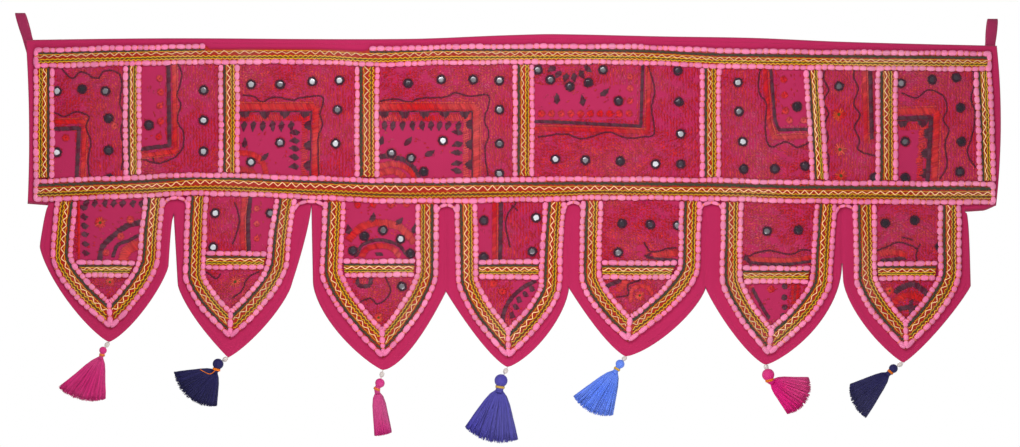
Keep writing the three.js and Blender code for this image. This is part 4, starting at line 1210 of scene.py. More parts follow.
class PatchWork:
    """The stitches and mirrors of one patch, as bodies for add_piece. They are sewn in the order
    of the methods below, because each draws from the same chance."""

    def __init__(self, name, shape, seed):
        """Take up the patch's sheet and origin, its rows of work and its own random draws."""
        self.x, self.z, self.origin = shape
        self.todo = WORK[name]
        self.seed = seed
        self.has_corners = name.startswith("heading")
        self.dark_wide = 3.7 if name in ("heading_5", "heading_6") else 4.8
        self.rng = np.random.default_rng(100 + seed)
        self.bodies, self.glass = [], []

    def rows(self, kind):
        """The patch's rows of one kind of work."""
        return self.todo.get(kind, [])

    def at(self, rows):
        """x and z of places across and down from the patch's origin."""
        return np.array(self.origin) + np.array(rows, float) * (1, -1)

    def sew(self, pair, width, rise, colour, over=0.2, shares=FULL_SHARES, mixed=None):
        """Sews stitches between a pair of ends, over above the ground. Clumps of them, where a
        sine of a sine is high, are in the mixed thread. The shade follows another such sine."""
        mx, mz = ((pair[0] + pair[1]) / 2).T
        if mixed and len(mx) > 4:
            other = np.sin(mx / 1.9 + 2 * np.sin(mz / 2.3)) + self.rng.normal(0, 0.35, len(mx)) > 0.7
            other[0], other[-1] = True, False
            self.sew(chosen(pair, other), width, rise, mixed, over, shares)
            pair = chosen(pair, ~other)
            mx, mz = mx[~other], mz[~other]
        points, faces = stitches(*pair, width, WORK_BASE + over, rise, shares)
        tone = 0.5 + 0.28 * np.sin(mx / 1.3 + 2 * np.sin(mz / 3.1)) + self.rng.normal(0, 0.16, len(mx))
        shade = np.repeat(np.clip(tone, 0, 1), len(points) // len(mx))
        self.bodies.append((points, faces, thread(colour), shade))

    def satin(self, path, shape, sewn, mixed=None, over=0.2, bends=False, **more):
        """Sews a band along a path. Its shape is a width, the way from stitch to stitch and
        their lean, and sewn is the thread's width, rise and colour. The heading's bands turn at
        corners, unless they bend."""
        smooth = bends or not self.has_corners
        pair = band_stitches(self.at(path), *shape, self.rng, smooth=smooth, **more)
        self.sew(pair, *sewn, over=over, mixed=mixed)

    def wheel(self, centre, inner, outer, count, *sewn, **more):
        """Sews spokes round a centre."""
        self.sew(wheel_stitches(centre, inner, outer, count, self.rng), *sewn, **more)

    def ground(self):
        """Short stitches all over, in three threads by their tone."""
        edges = self.rows("red_bands") + self.rows("dark_bands")
        guides = [walk(self.at(path), GUIDE_STEP, smooth=False) for path in edges]
        plain = [self.at([box[:2], box[2:]]).ravel() for box in self.rows("plain")]
        holes = [(*self.at([row[:2]])[0], MIRROR_RADIUS + 1.2) for row in self.rows("mirrors")]
        *pair, tone = ground_stitches(self.x, self.z, plain, holes, guides, self.seed, self.rng)
        for colour, low, high in (("crimson", -0.55, 0.8), ("scarlet", 0.8, np.inf), ("rose", -1.3, -0.55)):
            which = (tone > low) & (tone <= high)
            if which.any():
                self.sew(chosen(pair, which), 1.9, 0.3, colour, over=0.0, shares=SHORT_SHARES)

    def bands(self):
        """Red bands with a thin bright line on their left, bent bands, dark bands, and a row of
        dark scallops over a thinly sewn red strip."""
        scalloped = "scallops" in self.todo
        broad = 8.0 if scalloped else 5.6
        reds = ("scarlet", "crimson") if scalloped or self.seed < 2 else ("crimson", "scarlet")
        for path in self.rows("red_bands"):
            self.satin(path, (broad, 1.0, 1.6), (1.2, 0.42, reds[0]), reds[1], over=0.1)
            self.satin(path, (0.8, 3.1, 1.5), (0.9, 0.5, "flame"), shift=broad / 2 + 0.4)
        for colour, wide, path in self.rows("curves"):
            mixed = "plum" if colour == "dark" else "crimson"
            self.satin(path, (wide, 1.0, 1.2), (1.2, 0.5, colour), mixed, over=0.15, bends=True)
        for path in self.rows("dark_bands"):
            self.satin(path, (self.dark_wide, 0.75, 0.9), (1.05, 0.65, "dark"), "plum")
        for path in self.rows("scallops"):
            self.satin(path, (7.5, 2.2, 1.1), (1.5, 0.4, "scarlet"), "crimson", over=0.0, shift=-6.5)
            self.satin(path, (1.4, 0.8, 0.4), (1.0, 0.6, "dark"), "plum", swell=7.0)

    def vines(self):
        """Stitches end to end along a curve, their ends a little out of line."""
        for path in self.rows("vines"):
            places, _ = walk(self.at(path), 2.0)
            places = places + self.rng.normal(0, 0.3, places.shape)
            self.sew((places[:-1], places[1:]), 1.75, 0.7, "plum", over=0.25)

    def petals(self):
        """Single leaves, or a row of them along a path."""
        for path, long, way in self.rows("petals"):
            places = self.at(path)
            if len(places) > 1:
                places, _ = walk(places, 9.4, smooth=False)
            turn = math.radians(way) + self.rng.normal(0, 0.16, len(places))
            self.sew(leaf_stitches(places, long, turn, self.rng), 1.3, 0.6, "dark", mixed="plum")

    def florets(self):
        """Small wheels, the large ones with an olive heart, and dark dots."""
        for *place, radius in self.rows("florets"):
            centre = self.at([place])[0]
            large = radius >= 3.6
            count, mixed = (13, "flame") if large else (11, "crimson")
            self.wheel(centre, 0.4, radius * 1.3, count, 1.7, 0.6, "scarlet", mixed=mixed)
            if large:
                self.wheel(centre, 0.1, 0.4 * radius, 8, 1.3, 0.9, "olive")
        for dot in self.rows("dots"):
            self.wheel(self.at([dot])[0], 0.2, 3.2, 11, 1.7, 0.7, "dark", mixed="plum")

    def discs(self):
        """A ring of leaves round two red wheels, as much of them as lies on the patch."""
        box = (self.x.min(), self.z.max(), self.x.max(), self.z.min())
        for *place, outer, inner in self.rows("discs"):
            centre = self.at([place])[0]
            angle = turns(round(2 * math.pi * outer / 9.0))
            ring = centre + np.stack([np.sin(angle), np.cos(angle)], 1) * (outer - 6)
            pair = leaf_stitches(ring, 9.0, angle, self.rng)
            self.sew(chosen(pair, in_box(pair[1], *box)), 1.3, 0.6, "dark", mixed="plum")
            for radius, colour in ((inner, "scarlet"), (inner * 0.5, "crimson")):
                count = max(12, round(radius * 4.5))
                pair = wheel_stitches(centre, radius * 0.3, radius, count, self.rng)
                which = in_box(pair[1], *box)
                if which.any():
                    self.sew(chosen(pair, which), 1.1, 0.8, colour)

    def mirrors(self):
        """Mirrors, each with a ring of dark stitches over its rim and a red ring outside. Each glass takes
        a dark, grey or bright colour, which is a painted reflection.
        """
        for *place, painted_reflection in self.rows("mirrors"):
            centre = self.at([place])[0]
            self.wheel(centre, MIRROR_RADIUS - 0.8, MIRROR_RADIUS + 2.0, 17, 1.5, 0.95, "ring", over=0.3)
            self.wheel(centre, MIRROR_RADIUS + 1.5, MIRROR_RADIUS + 2.8, 20, 1.1, 0.5, "crimson")
            # The glass's colour is a painted reflection, dark, grey or bright.
            name, colour, metal = MIRROR_PAINTED_REFLECTIONS[painted_reflection]
            look = material(name, colour, fibre_group(), rough=0.22, bump=0.12, metal=metal, gloss=0.5,
                            Spread=0.8, Fineness=260.0)
            self.glass.append((*mirror_disc(*centre, self.rng), look, self.rng.random()))


def work_bodies(name, shape, seed):
    """The stitches of one patch as bodies for add_piece, and its mirrors' bodies."""
    work = PatchWork(name, shape, seed)
    for part in (work.ground, work.bands, work.vines, work.petals, work.florets, work.discs, work.mirrors):
        part()
    return work.bodies, work.glass


PUFF_LONG = 7.4
PUFF_STEPS = 6
PINCH_SHARE = 0.44
CORD_WIDE = 2.95
CORD_SIDES = 6
CORD_FLAT = 0.44
CORD_BARE = (-315, -146)  # along X, where the top trim has lost its upper cord and dark line
TIE_SHARES = (0.0, 0.26, 0.74, 1.0)
FINE_SIDES = 3


def fine_points(stations):
    """How many points a fine thread has: its rings' and one at each end."""
    return stations * FINE_SIDES + 2


def fine_thread(path, radius):
    """Threads of one thickness along many paths at once: paths by stations by 3, each station
    a ring of FINE_SIDES, thinner at both ends and closed there by a fan."""
    along = unit(np.gradient(path, axis=1))
    across = unit(np.cross(along, np.array([0.0, 1.0, 0.0])))
    up = np.cross(across, along)
    turn = turns(FINE_SIDES)[:, None]
    taper = np.ones(path.shape[1])
    taper[[0, -1]] = 0.6
    radius = radius * taper[None, :, None, None]
    rings = path[:, :, None] + radius * (np.cos(turn) * across[:, :, None] + np.sin(turn) * up[:, :, None])
    _, faces = swept(rings[0])
    ends = rings[:, [0, -1]].mean(2)
    return copies(faces, np.concatenate([rings.reshape(len(path), -1, 3), ends], 1))


def tie_downs(near, away, base, top, radius):
    """Couching stitches that hold a cord down: from near to away over its back, as threads
    that lie at base at both ends and at top between them."""
    outs = (base, top, top, base)
    path = np.stack([on_cloth(*lerp(near, away, t).T, out) for t, out in zip(TIE_SHARES, outs)], 1)
    return fine_thread(path, radius)


def cord(run, across, start, end, rng, wide=CORD_WIDE):
    """A floss cord couched down every few millimetres: a yarn whose radius swells between the
    couching stitches by a power of the sine of the way between them, and one stitch over each
    pinch. It sways a little to both sides by two sines."""
    count = max(1, round((end - start) / PUFF_LONG))
    longs = np.concatenate([[0], np.cumsum(rng.uniform(0.72, 1.28, count))])
    pinch = start + (end - start) * longs / longs[-1]
    phase = np.arange(count * PUFF_STEPS + 1) / PUFF_STEPS
    far = np.interp(phase, np.arange(count + 1), pinch)
    turn = rng.uniform(0, 6, 2)
    sway = 0.3 * np.sin(far / 13 + turn[0]) + 0.22 * np.sin(far / 5.3 + turn[1])
    places = lane(run, far, across + sway)
    puff = np.minimum(phase.astype(int), count)
    fullness = rng.uniform(0.86, 1.1, count + 1)[puff]
    swell = PINCH_SHARE + (1 - PINCH_SHARE) * np.abs(np.sin(np.pi * phase)) ** 0.6
    body = yarn(on_cloth(*places.T, CORD_OUT), wide * fullness * swell, sides=CORD_SIDES, flat=CORD_FLAT)
    tone = rng.random(count + 1)[puff]
    shade = np.concatenate([np.repeat(tone, CORD_SIDES), tone[[0, -1]]])
    held = pinch[1:-1] if count > 1 else pinch[:1]
    near = lane(run, held - 0.8, across - wide * 0.8)
    away = lane(run, held + 0.8, across + wide * 0.8)
    ties = tie_downs(near, away, BAND_FACE, CORD_OUT + 0.5, 0.75)
    tie_shade = np.repeat(rng.random(len(held)), fine_points(len(TIE_SHARES)))
    return [(*body, thread("pink"), shade), (*ties, thread("coral"), tie_shade)]


def line_yarn(run, far, across, radius, colour, out, wave, period, rng):
    """One laid yarn along a run: straight, or a zigzag across it, which is the arc sine of a
    sine whose period wanders."""
    ways = rng.uniform(0, 6, 4)
    wander = 0.1 * np.sin(far / 37 + ways[0]) + 0.07 * np.sin(far / 12 + ways[1])
    turn = 2 * np.pi * (far / period + wander) + ways[2]
    lift, swing = out, 0.0
    if wave:
        lift = out + 0.18 * np.cos(turn)
        swing = wave * (1.25 + 0.4 * np.sin(far / 17 + ways[3])) + 0.1
    drift = 0.22 * np.sin(far / 21 + ways[1])
    places = lane(run, far, across + drift + swing * (2 / np.pi) * np.arcsin(np.sin(turn)))
    body = yarn(on_cloth(*places.T, lift), radius * (1 + 0.12 * np.sin(far * 2.1)), sides=4, flat=0.8)
    return (*body, thread(colour), rng.random())


def crossing_stitches(run, places, lean, near, far, width, base, rise, colour, rng):
    """Short stitches across a run at places along it, from near to far and leaning along it."""
    pair = lane(run, places - lean, near), lane(run, places + lean, far)
    points, faces = stitches(*pair, width, base, rise)
    shade = np.repeat(rng.random(len(places)), len(points) // len(places))
    return points, faces, thread(colour), shade


def band(run, bare=None):
    """The raised ground of a trim: a flat bar carried along the run, thinner over a patch. It
    draws back from its high side where its cord is gone."""
    half = run["wide"] / 2
    edge, step = half - 0.5, half - BAND_SIDE
    profile = []
    for side, over in zip((-1, 1), run["over"]):
        low = PATCH_FACE + GAP if over else GAP
        profile.append([(side * step, GAP), (side * (step + 0.02), low), (side * edge, low),
                        (side * edge, BAND_FACE), (side * (step + 0.4), BAND_FACE + 0.05),
                        (side * (step - 0.8), BAND_FACE + 0.3)])
    long = run_long(run)[-1]
    far = np.linspace(0.2, long - 0.2, max(3, round(long / 4)))
    limit = np.full(len(far), half)
    if bare:
        x = lane(run, far, 0.0)[:, 0]
        limit -= 4.6 * np.clip(np.minimum(x - bare[0], bare[1] - x) / 4, 0, 1)
    rings = []
    for across, out in profile[0][::-1] + profile[1]:
        rings.append(on_cloth(*lane(run, far, np.minimum(across, limit)).T, out))
    return swept(np.stack(rings, 1))


def dark_share(name, run, far):
    """The share of a trim's inner width that its dark line takes at each place along it. In the
    long trims it grows from left to right, and at the bottom one's left end."""
    if name not in ("trim_top", "trim_bottom"):
        return np.full(np.shape(far), 0.27)
    middle = lane(run, far, 0.0)[:, 0]
    grows = np.clip((middle + 60) / 200, 0, 1)
    if name == "trim_bottom":
        grows = grows + 0.7 * np.clip((-330 - middle) / 25, 0, 1)
    return 0.17 + 0.19 * grows


def run_bodies(name, run, rng):
    """One run of a trim: its band, the couched cords along both sides, and between them from
    the dark line's side a dark line, a thin yellow one, a cream zigzag, a yellow wave, an olive
    line and a second yellow wave, with low stitches under the zigzag."""
    half, inner = run["wide"] / 2, run["wide"] - 2 * BAND_SIDE
    long = float(run_long(run)[-1])
    worn = name == "trim_top"
    bodies = [(*band(run, CORD_BARE if worn else None), thread("brick"), 0.5)]
    pennant = name.startswith("pennant_trim")
    first = run["drop"] + 0.3
    low_spans = high_spans = [(first, long - 0.3)]
    if worn:
        left = run["low"][0, 0]
        high_spans = [(0.3, CORD_BARE[0] - left), (CORD_BARE[1] - left, long - 0.3)]
    for side, spans, short in ((-1, low_spans, 0.0), (1, high_spans, 2.0 if pennant else 0.0)):
        for start, end in spans:
            bodies += cord(run, side * (half - CORD_MIDDLE + 0.2), start, end - short, rng)

    def lies(share):
        """How far across the run a share of its inner width lies from the dark line's side."""
        return run["green"] * inner * (0.5 - share)

    for start, end in high_spans:
        places = np.arange(start + 0.6, end - 0.6, 1.2)
        lean = rng.uniform(0.3, 1.3, len(places))
        near = lies(rng.uniform(-0.05, 0.02, len(places)))
        far = lies(dark_share(name, run, places) + rng.uniform(-0.07, 0.05, len(places)))
        bodies.append(crossing_stitches(run, places, lean, near, far, 1.9, 2.5, 0.6, "green", rng))
    end = long - (3.5 if pennant else 0.4)
    # Each yarn's share across, whether it follows the dark line, its radius, colour, out, wave
    # and period, and the way from station to station.
    for share, follows, radius, colour, out, wave, period, step in (
        (0.04, 1, 0.34, "yellow", 2.8, 0.15, 6.0, 1.6),
        (0.17, 1, 0.52, "cream", 3.1, 0.1 * inner, 9.8, 1.3),
        (0.67, 0, 0.5, "yellow", 2.95, 0.045 * inner, 5.2, 1.1),
        (0.785, 0, 0.62, "olive", 2.85, 0.0, 10.0, 2.6),
        (0.9, 0, 0.52, "yellow", 2.95, 0.045 * inner, 4.8, 1.1),
    ):
        far = np.arange(first, end, step)
        across = lies(share + follows * dark_share(name, run, far))
        bodies.append(line_yarn(run, far, across, radius, colour, out, wave, period, rng))
    places = np.arange(2, end, 1.6)
    lean = rng.uniform(0.5, 1.2, len(places))
    near, far = lies(dark_share(name, run, places) + 0.08), lies(0.62)
    bodies.append(crossing_stitches(run, places, lean, near, far, 1.3, 2.45, 0.4, "brick", rng))
    return bodies


def whole_cord(path, side, room, rng, wide=CORD_WIDE):
    """A couched cord along the whole of a path of x and z, with side as the way across it, in a
    run as wide as room."""
    run = one_run(path - side * room / 2, path + side * room / 2, room, 1, (0, 0))
    return cord(run, 0.0, 0.0, float(run_long(run)[-1]), rng, wide)


def arch_bodies(runs, rng):
    """Between neighbouring pennants a thin cord arches over the plain strip: half an ellipse
    from one outer cord to the next."""
    bodies = []
    for i in range(1, len(PENNANTS)):
        left = runs[f"pennant_trim_{i}"][1]["low"][1, 0] - 1.5
        right = runs[f"pennant_trim_{i + 1}"][0]["low"][1, 0] + 1.5
        middle, half = (left + right) / 2, (right - left) / 2
        turn = np.linspace(np.pi, 0, 30)[:, None]
        way = np.hstack([np.cos(turn), np.sin(turn)])
        foot = float(bottom_line(middle)) - BOTTOM_WIDE / 2 - float(trim_drop(middle)) - 11
        bodies += whole_cord(np.array([middle, foot]) + way * (half, 9.0), way, 3.0, rng, wide=2.0)
    return bodies


def skirt_place(row, side, depth, t, base):
    """A place in a tassel's skirt, t of the way down a lock: the locks turn from left to right
    and open as a sine just under the tie, into a section that is thin across the cloth."""
    long = lerp(row["left"], row["right"], (side + 1) / 2) + row["belly"] * (1 - side**2)
    turn = np.radians(row["lean"] + side * row["spread"])
    lean = math.radians(row["lean"])
    opened = np.minimum(1, t / SHOULDER)
    wide = np.sin(np.pi / 2 * opened) * row["round"] * side
    x = row["tie"][0] + np.sin(turn) * long * t + math.cos(lean) * wide
    z = row["tie"][1] - np.cos(turn) * long * t + math.sin(lean) * wide
    y = base + depth * (SKIRT_ROOT_DEEP * opened + SKIRT_GROW * t)
    return np.stack(np.broadcast_arrays(x, y, z), -1)


BALL_ROWS = 11


def ball(centre, radius, way, stretch=1.0, ridges=0, deep=0.0, sides=20):
    """A round body with its poles along way in x and z: rings of sines, with ridges round it."""
    t = np.linspace(0.03, np.pi - 0.03, BALL_ROWS)[:, None]
    turn = turns(sides)
    r = radius * np.sin(t) * (1 + deep * np.cos(ridges * turn))
    up = radius * stretch * np.cos(t) + 0 * turn
    across = r * np.cos(turn)
    x = centre[0] + across * way[1] + up * way[0]
    z = centre[2] - across * way[0] + up * way[1]
    return swept(np.stack([x, centre[1] + r * np.sin(turn), z], -1))


TIE_RADIUS = 0.5
TIE_STEPS = 28
TIE_SIDES = 6
TIE_APART = 0.75
CORE_ROWS = 16
LOCK_STATIONS = 7
LOOSE_TIE = [(-310, -349), (-316, -347), (-320.6, -344.4)]  # a loose end of the second tassel's tie


def tie_rings(row, way, base, colour, rng):
    """Three turns of thread round a tassel's neck: rings whose round section is carried round."""
    turn, small = turns(TIE_STEPS), turns(TIE_SIDES)
    reach = row["head"][2] * 0.66 + TIE_RADIUS * np.cos(small)
    along = TIE_RADIUS * np.sin(small)
    across = reach * np.cos(turn)[:, None]
    bodies = []
    for k in (-1, 0, 1):
        centre = np.array(row["tie"]) + way * k * TIE_APART
        x = centre[0] + across * way[1] + along * way[0]
        z = centre[1] - across * way[0] + along * way[1]
        points = np.stack([x, base + reach * np.sin(turn)[:, None], z], -1).reshape(-1, 3)
        faces = facing_out(points, ring_walls(TIE_STEPS, TIE_SIDES, joined=True))
        bodies.append((points, faces, thread(colour), rng.random()))
    return bodies


def skirt_threads(row, base, look, seed, rng):
    """A tassel's threads, close together at both sides as the cosine puts them, in front and
    behind. Each wanders by a sine, and neighbours gather in locks by a faster one."""
    sizes = bpy.context.scene.toran_tassels
    count = sizes.threads
    side = np.cos(np.pi * (np.arange(count) + 0.5) / count) + rng.normal(0, 0.02, count)
    side = np.clip(side, -0.99, 0.99)
    depth = np.where(rng.random(count) < 0.5, -1, 1) * np.sqrt(1 - side**2) * rng.uniform(0.86, 1.0, count)
    t = np.linspace(0.02, 1, LOCK_STATIONS)[None, :] * rng.uniform(0.975, 1.01, count)[:, None]
    lock = 0.012 * np.sin(side * 21 + seed) + rng.normal(0, 0.018, count)
    wave = 0.012 * np.sin(t * 9 + rng.uniform(0, 6, count)[:, None])
    wander = side[:, None] + lock[:, None] * t + wave
    depth = depth[:, None] * (1 + 0.06 * np.sin(side * 40)[:, None] * t)
    body = fine_thread(skirt_place(row, wander, depth, t, base), sizes.thread_radius / MM)
    tones = 0.5 + 0.35 * np.sin(side * 33) + rng.normal(0, 0.2, count)
    return (*body, look, np.repeat(np.clip(tones, 0, 1), fine_points(LOCK_STATIONS)))


def tassel_bodies(row, base, tie_colour, seed):
    """A tassel: a wound head, a neck, its tie, a soft core that is darkened as painted shade, and a skirt
    of threads.
    """
    rng = np.random.default_rng(700 + seed)
    look = thread(row["slot"])
    head_x, head_z, radius = row["head"]
    tie = np.array(row["tie"])
    way = unit(np.array([head_x, head_z]) - tie)
    bodies = [(*ball((head_x, base, head_z), radius, way, ridges=24, deep=0.012), look, 0.6)]
    root = skirt_place(row, 0.0, 0.0, 0.1, 0.0)[[0, 2]]
    neck = np.vstack([root, np.linspace(tie, [head_x, head_z], 5)[:-1]])
    path = np.stack([neck[:, 0], np.full(len(neck), base), neck[:, 1]], 1)
    bodies.append((*yarn(path, radius * 0.6, sides=14), look, 0.4))
    bodies += tie_rings(row, way, base, tie_colour, rng)
    turn = turns(TIE_STEPS)
    down = np.linspace(0.06, 0.95, CORE_ROWS)[:, None]
    core = skirt_place(row, np.cos(turn) * 0.86, np.sin(turn) * 0.8, down, base)
    # The core's low shade of 0.15 is painted shade inside the skirt, between the threads.
    bodies.append((*swept(core), look, 0.15))
    bodies.append(skirt_threads(row, base, look, seed, rng))
    if seed == 1:
        loose = curve(np.array([row["tie"], *LOOSE_TIE]))
        path = np.stack([loose[:, 0], base - 3.6 + 0.02 * np.arange(len(loose)), loose[:, 1]], 1)
        bodies.append((*yarn(path, 0.4), thread(tie_colour), 0.9))
    return bodies


def bead_bodies(row, tip, base, look):
    """A tassel's bead and the string that it hangs on, from the pennant's point to its head."""
    head = np.array(row["head"][:2])
    drop = head - tip
    reach = np.hypot(*drop)
    way = drop / reach
    middle = tip + way * max(2.4, (reach - row["head"][2]) * 0.52)
    bead = ball((middle[0], base, middle[1]), 2.5, way, stretch=1.25, sides=16)
    path = np.linspace(tip + way * -1.5, head, 8)
    string = yarn(np.stack([path[:, 0], np.full(8, base), path[:, 1]], 1), 0.6, sides=6)
    return [(*bead, look, 0.5), (*string, look, 0.3)]


TAPE_CORNER = 0.35
TAPE_RISES = (-TAPE_TAIL, -8, -1, EYE_FOOT)


def bend(a, b, c):
    """Places on a quadratic curve from a to c that b pulls to its side, without a itself."""
    t = np.linspace(0, 1, 10)[1:, None]
    return (1 - t) ** 2 * a + 2 * t * (1 - t) * b + t**2 * c


def tape_loop(x, z, lean):
    """A doubled tape that opens into an eye: a flat bar carried up one side of the eye and
    down the other, and sewn flat below. Gives its length too."""
    half = TAPE_THICK / 2
    side_x = EYE_HALF_BROAD + half
    tail = np.stack([np.full(len(TAPE_RISES), half), TAPE_RISES], 1)
    foot, broad = np.array([half, EYE_FOOT]), np.array([side_x, EYE_BROAD])
    knee, shoulder = np.array([side_x, (EYE_FOOT + EYE_BROAD) / 2]), np.array([side_x, EYE_TOP])
    top = np.array([0.0, EYE_TOP + half])
    side = np.vstack([tail, bend(foot, knee, broad), bend(broad, shoulder, top)])
    line = np.vstack([side * (-1, 1), side[-2::-1]])
    line[:, 1] = np.minimum(line[:, 1], EYE_TOP + half)
    out = left_of(unit(np.gradient(line, axis=0)))
    wide = TAPE_WIDE / 2
    inner, thin = wide - TAPE_CORNER, half * 0.97
    back = [(-wide, -0.4), (-inner, -thin), (0, -thin), (inner, -thin), (wide, -0.4)]
    section = back + [(-across, -off) for across, off in back]
    behind = max(float(hang(x, z)), float(hang(x, z - TAPE_TAIL))) + BACKING_THICK + TAPE_CLEAR + TAPE_THICK
    rings = []
    for across, off in section:
        s, h = (line + out * off).T
        rings.append(np.stack([x + across + lean * h, s + behind, z + h], 1))
    return swept(np.stack(rings, 1)), float(path_run(line)[-1])


def length(name, default, low, high, text):
    """A length on the panel, given in millimetres."""
    return bpy.props.FloatProperty(name=name, description=text, default=default * MM, min=low * MM,
                                   max=high * MM, unit="LENGTH", subtype="DISTANCE", precision=5)


def tint(name, r, g, b, text):
    """A colour on the panel, given as a display shows it."""
    return bpy.props.FloatVectorProperty(name=name, description=text, default=linear(r, g, b)[:3], min=0,
                                         max=1, size=3, subtype="COLOR")


class ToranCloth(bpy.types.PropertyGroup):
    """Sizes of the cloth."""

    backing_thick: length("Backing thickness", BACKING_THICK, 0.8, 3, "How thick the backing cloth is")


class ToranTassels(bpy.types.PropertyGroup):
    """How the tassels are made up."""

    threads: bpy.props.IntProperty(name="Threads", description="Threads in one tassel", default=430,
                                   min=100, max=900)
    thread_radius: length("Thread radius", 0.5, 0.2, 1, "Half the thickness of a tassel's thread")


class ToranColours(bpy.types.PropertyGroup):
    """Colours of the cloths and threads."""

    backing: tint("Backing", 194, 36, 92, "Magenta backing cotton")
    ground: tint("Ground", 188, 40, 90, "Magenta ground cotton under the stitches")
    crimson: tint("Crimson", 196, 29, 45, "Main thread of the worked ground")
    scarlet: tint("Scarlet", 214, 50, 52, "Bright red thread")
    rose: tint("Rose", 200, 46, 92, "Magenta thread")
    dark: tint("Dark", 96, 50, 66, "Dark thread of the bands and petals")
    plum: tint("Plum", 96, 20, 50, "Plum thread of the lines")
    flame: tint("Flame", 226, 84, 54, "Thread of the thin lines beside the bands")
    ring: tint("Mirror ring", 72, 26, 52, "Thread round the mirrors")
    magenta: tint("Hem thread", 188, 36, 92, "Thread of the hem stitches")
    pink: tint("Pink", 244, 132, 176, "Floss of the couched cords")
    coral: tint("Coral", 240, 130, 104, "Couching stitches over the cords")
    cream: tint("Cream", 255, 208, 160, "Zigzag yarn")
    yellow: tint("Yellow", 228, 182, 48, "Waved yarn")
    olive: tint("Olive", 88, 76, 30, "Line between the waves")
    green: tint("Dark green", 66, 70, 52, "Dark line beside the zigzag")
    brick: tint("Brick", 172, 36, 20, "Ground of the trims")
    tassel_pink: tint("Tassel pink", 214, 44, 124, "Pink tassels")
    tassel_rose: tint("Tassel rose", 208, 50, 130, "Rose tassel")
    tassel_navy: tint("Tassel navy", 34, 30, 84, "Dark blue tassels")
    tassel_violet: tint("Tassel violet", 76, 70, 164, "Violet tassel")
    tassel_blue: tint("Tassel blue", 104, 138, 238, "Light blue tassel")
    orange: tint("Tie orange", 226, 120, 40, "Ties of the tassels")
    ochre: tint("Tie ochre", 200, 160, 70, "Ties of two tassels")
    tape: tint("Tape", 168, 40, 88, "Tape of the hanging loops")


class TORAN_OT_backing(bpy.types.Operator):
    """Make the backing cloth with its hem."""

    bl_idname = "toran.backing"
    bl_label = "Backing cloth"

    def execute(self, context):
        make_backing()
        return {"FINISHED"}


class TORAN_OT_patches(bpy.types.Operator):
    """Make the patches with their stitches and mirrors."""

    bl_idname = "toran.patches"
    bl_label = "Worked patches"

    def execute(self, context):
        look = material("ground_cotton", panel_colour("ground"), weave_group(), rough=0.85, sheen=0.1,
                        bump=0.4, deep=0.0003, Threads=1100.0, Fading=0.12)
        for seed, (name, shape) in enumerate(patch_shapes().items()):
            places, faces = welded([shape[:2]])
            swell = 0.12 * np.sin(places[:, 0] / 5.1) * np.sin(places[:, 1] / 4.3)
            sheet = two_faced(places, faces, WORK_BASE + swell, np.full(len(places), PATCH_BACK))
            patch = add_piece(f"ground_{name}", [(*sheet, look, 0.5)], f"patch_{name}")
            bodies, glass = work_bodies(name, shape, seed)
            parts = [add_piece(f"stitches_{name}", bodies)]
            if glass:
                parts.append(add_piece(f"mirrors_{name}", glass))
        return {"FINISHED"}


class TORAN_OT_trims(bpy.types.Operator):
    """Make the couched trims over the patches' edges."""

    bl_idname = "toran.trims"
    bl_label = "Couched trims"

    def execute(self, context):
        runs = trim_runs()
        rng = np.random.default_rng(31)
        for seed, (name, its_runs) in enumerate(runs.items()):
            own = np.random.default_rng(400 + seed)
            bodies = [body for run in its_runs for body in run_bodies(name, run, own)]
            low, high = its_runs[0]["low"], its_runs[0]["high"]
            if name in ("trim_top", "trim_bottom"):
                for k, inset in ((0, 2.2), (-1, -2.2)):
                    ends = np.array([low[k] + (inset, 1), high[k] + (inset, -1)])
                    bodies += whole_cord(ends, np.array([1.0, 0]), 4.6, rng)
            elif name.startswith("pennant_trim"):
                ends = np.array([high[-1] - (0, 2), low[-1] + (0, 4.5)])
                bodies += whole_cord(ends, np.array([1.0, 0]), 4.6, rng)
            add_piece(f"couched_{name}", bodies, name)
        add_piece("arch_cords", arch_bodies(runs, rng))
        return {"FINISHED"}


class TORAN_OT_tassels(bpy.types.Operator):
    """Make the tassels with their beads."""

    bl_idname = "toran.tassels"
    bl_label = "Tassels"

    def execute(self, context):
        white = material("bead_glass", linear(216, 206, 200), fibre_group(), rough=0.25, bump=0.05,
                         coat=0.4, Spread=0.1, Fineness=200.0)
        for i, (row, pennant) in enumerate(zip(TASSELS, PENNANTS)):
            tip = np.array(pennant["tip"], float)
            base = float(cloth(*tip)) + BACKING_THICK / 2
            bodies = tassel_bodies(row, base, "ochre" if i in (3, 4) else "orange", i)
            add_piece(f"wound_tassel_{i + 1}", bodies, f"tassel_{i + 1}")
            add_piece(f"bead_{i + 1}", bead_bodies(row, tip, base, white))
        return {"FINISHED"}


class TORAN_OT_loops(bpy.types.Operator):
    """Make the tape loops at the top corners."""

    bl_idname = "toran.loops"
    bl_label = "Tape loops"

    def execute(self, context):
        look = material("loop_tape", panel_colour("tape"), weave_group(), rough=0.8, sheen=0.2, bump=0.5,
                        deep=0.0003, Threads=1500.0)
        for name, place in LOOPS.items():
            body, long = tape_loop(*place)
            piece = add_piece(f"tape_{name}", [(*body, look, 0.5)], name)
        return {"FINISHED"}


CAMERA_AWAY = 3.2
FILM_WIDE = 36.0
IMAGE_WIDE = 1020
MM_PER_PIXEL = 1.03
CENTRE = (-0.001545, -0.1942)
WORLD_LIGHT = 0.2
FLOOR = {"near": -6.0, "far": 3.6, "half": 6.0, "low": -0.75}
# Each light's place, size and power.
LIGHTS = {
    "key": ((-0.9, -2.3, 1.3), 1.2, 8.0),
    "upper": ((-0.06, -0.8, 0.34), 0.45, 4.7),
    "lower": ((0.1, -0.8, -0.74), 0.45, 5.4),
    "left": ((-2.4, -0.4, 0.1), 1.0, 9.0),
    "right": ((2.4, -0.4, 0.1), 1.0, 9.0),
    "behind": ((0.3, 1.9, 0.7), 1.4, 26.0),
}


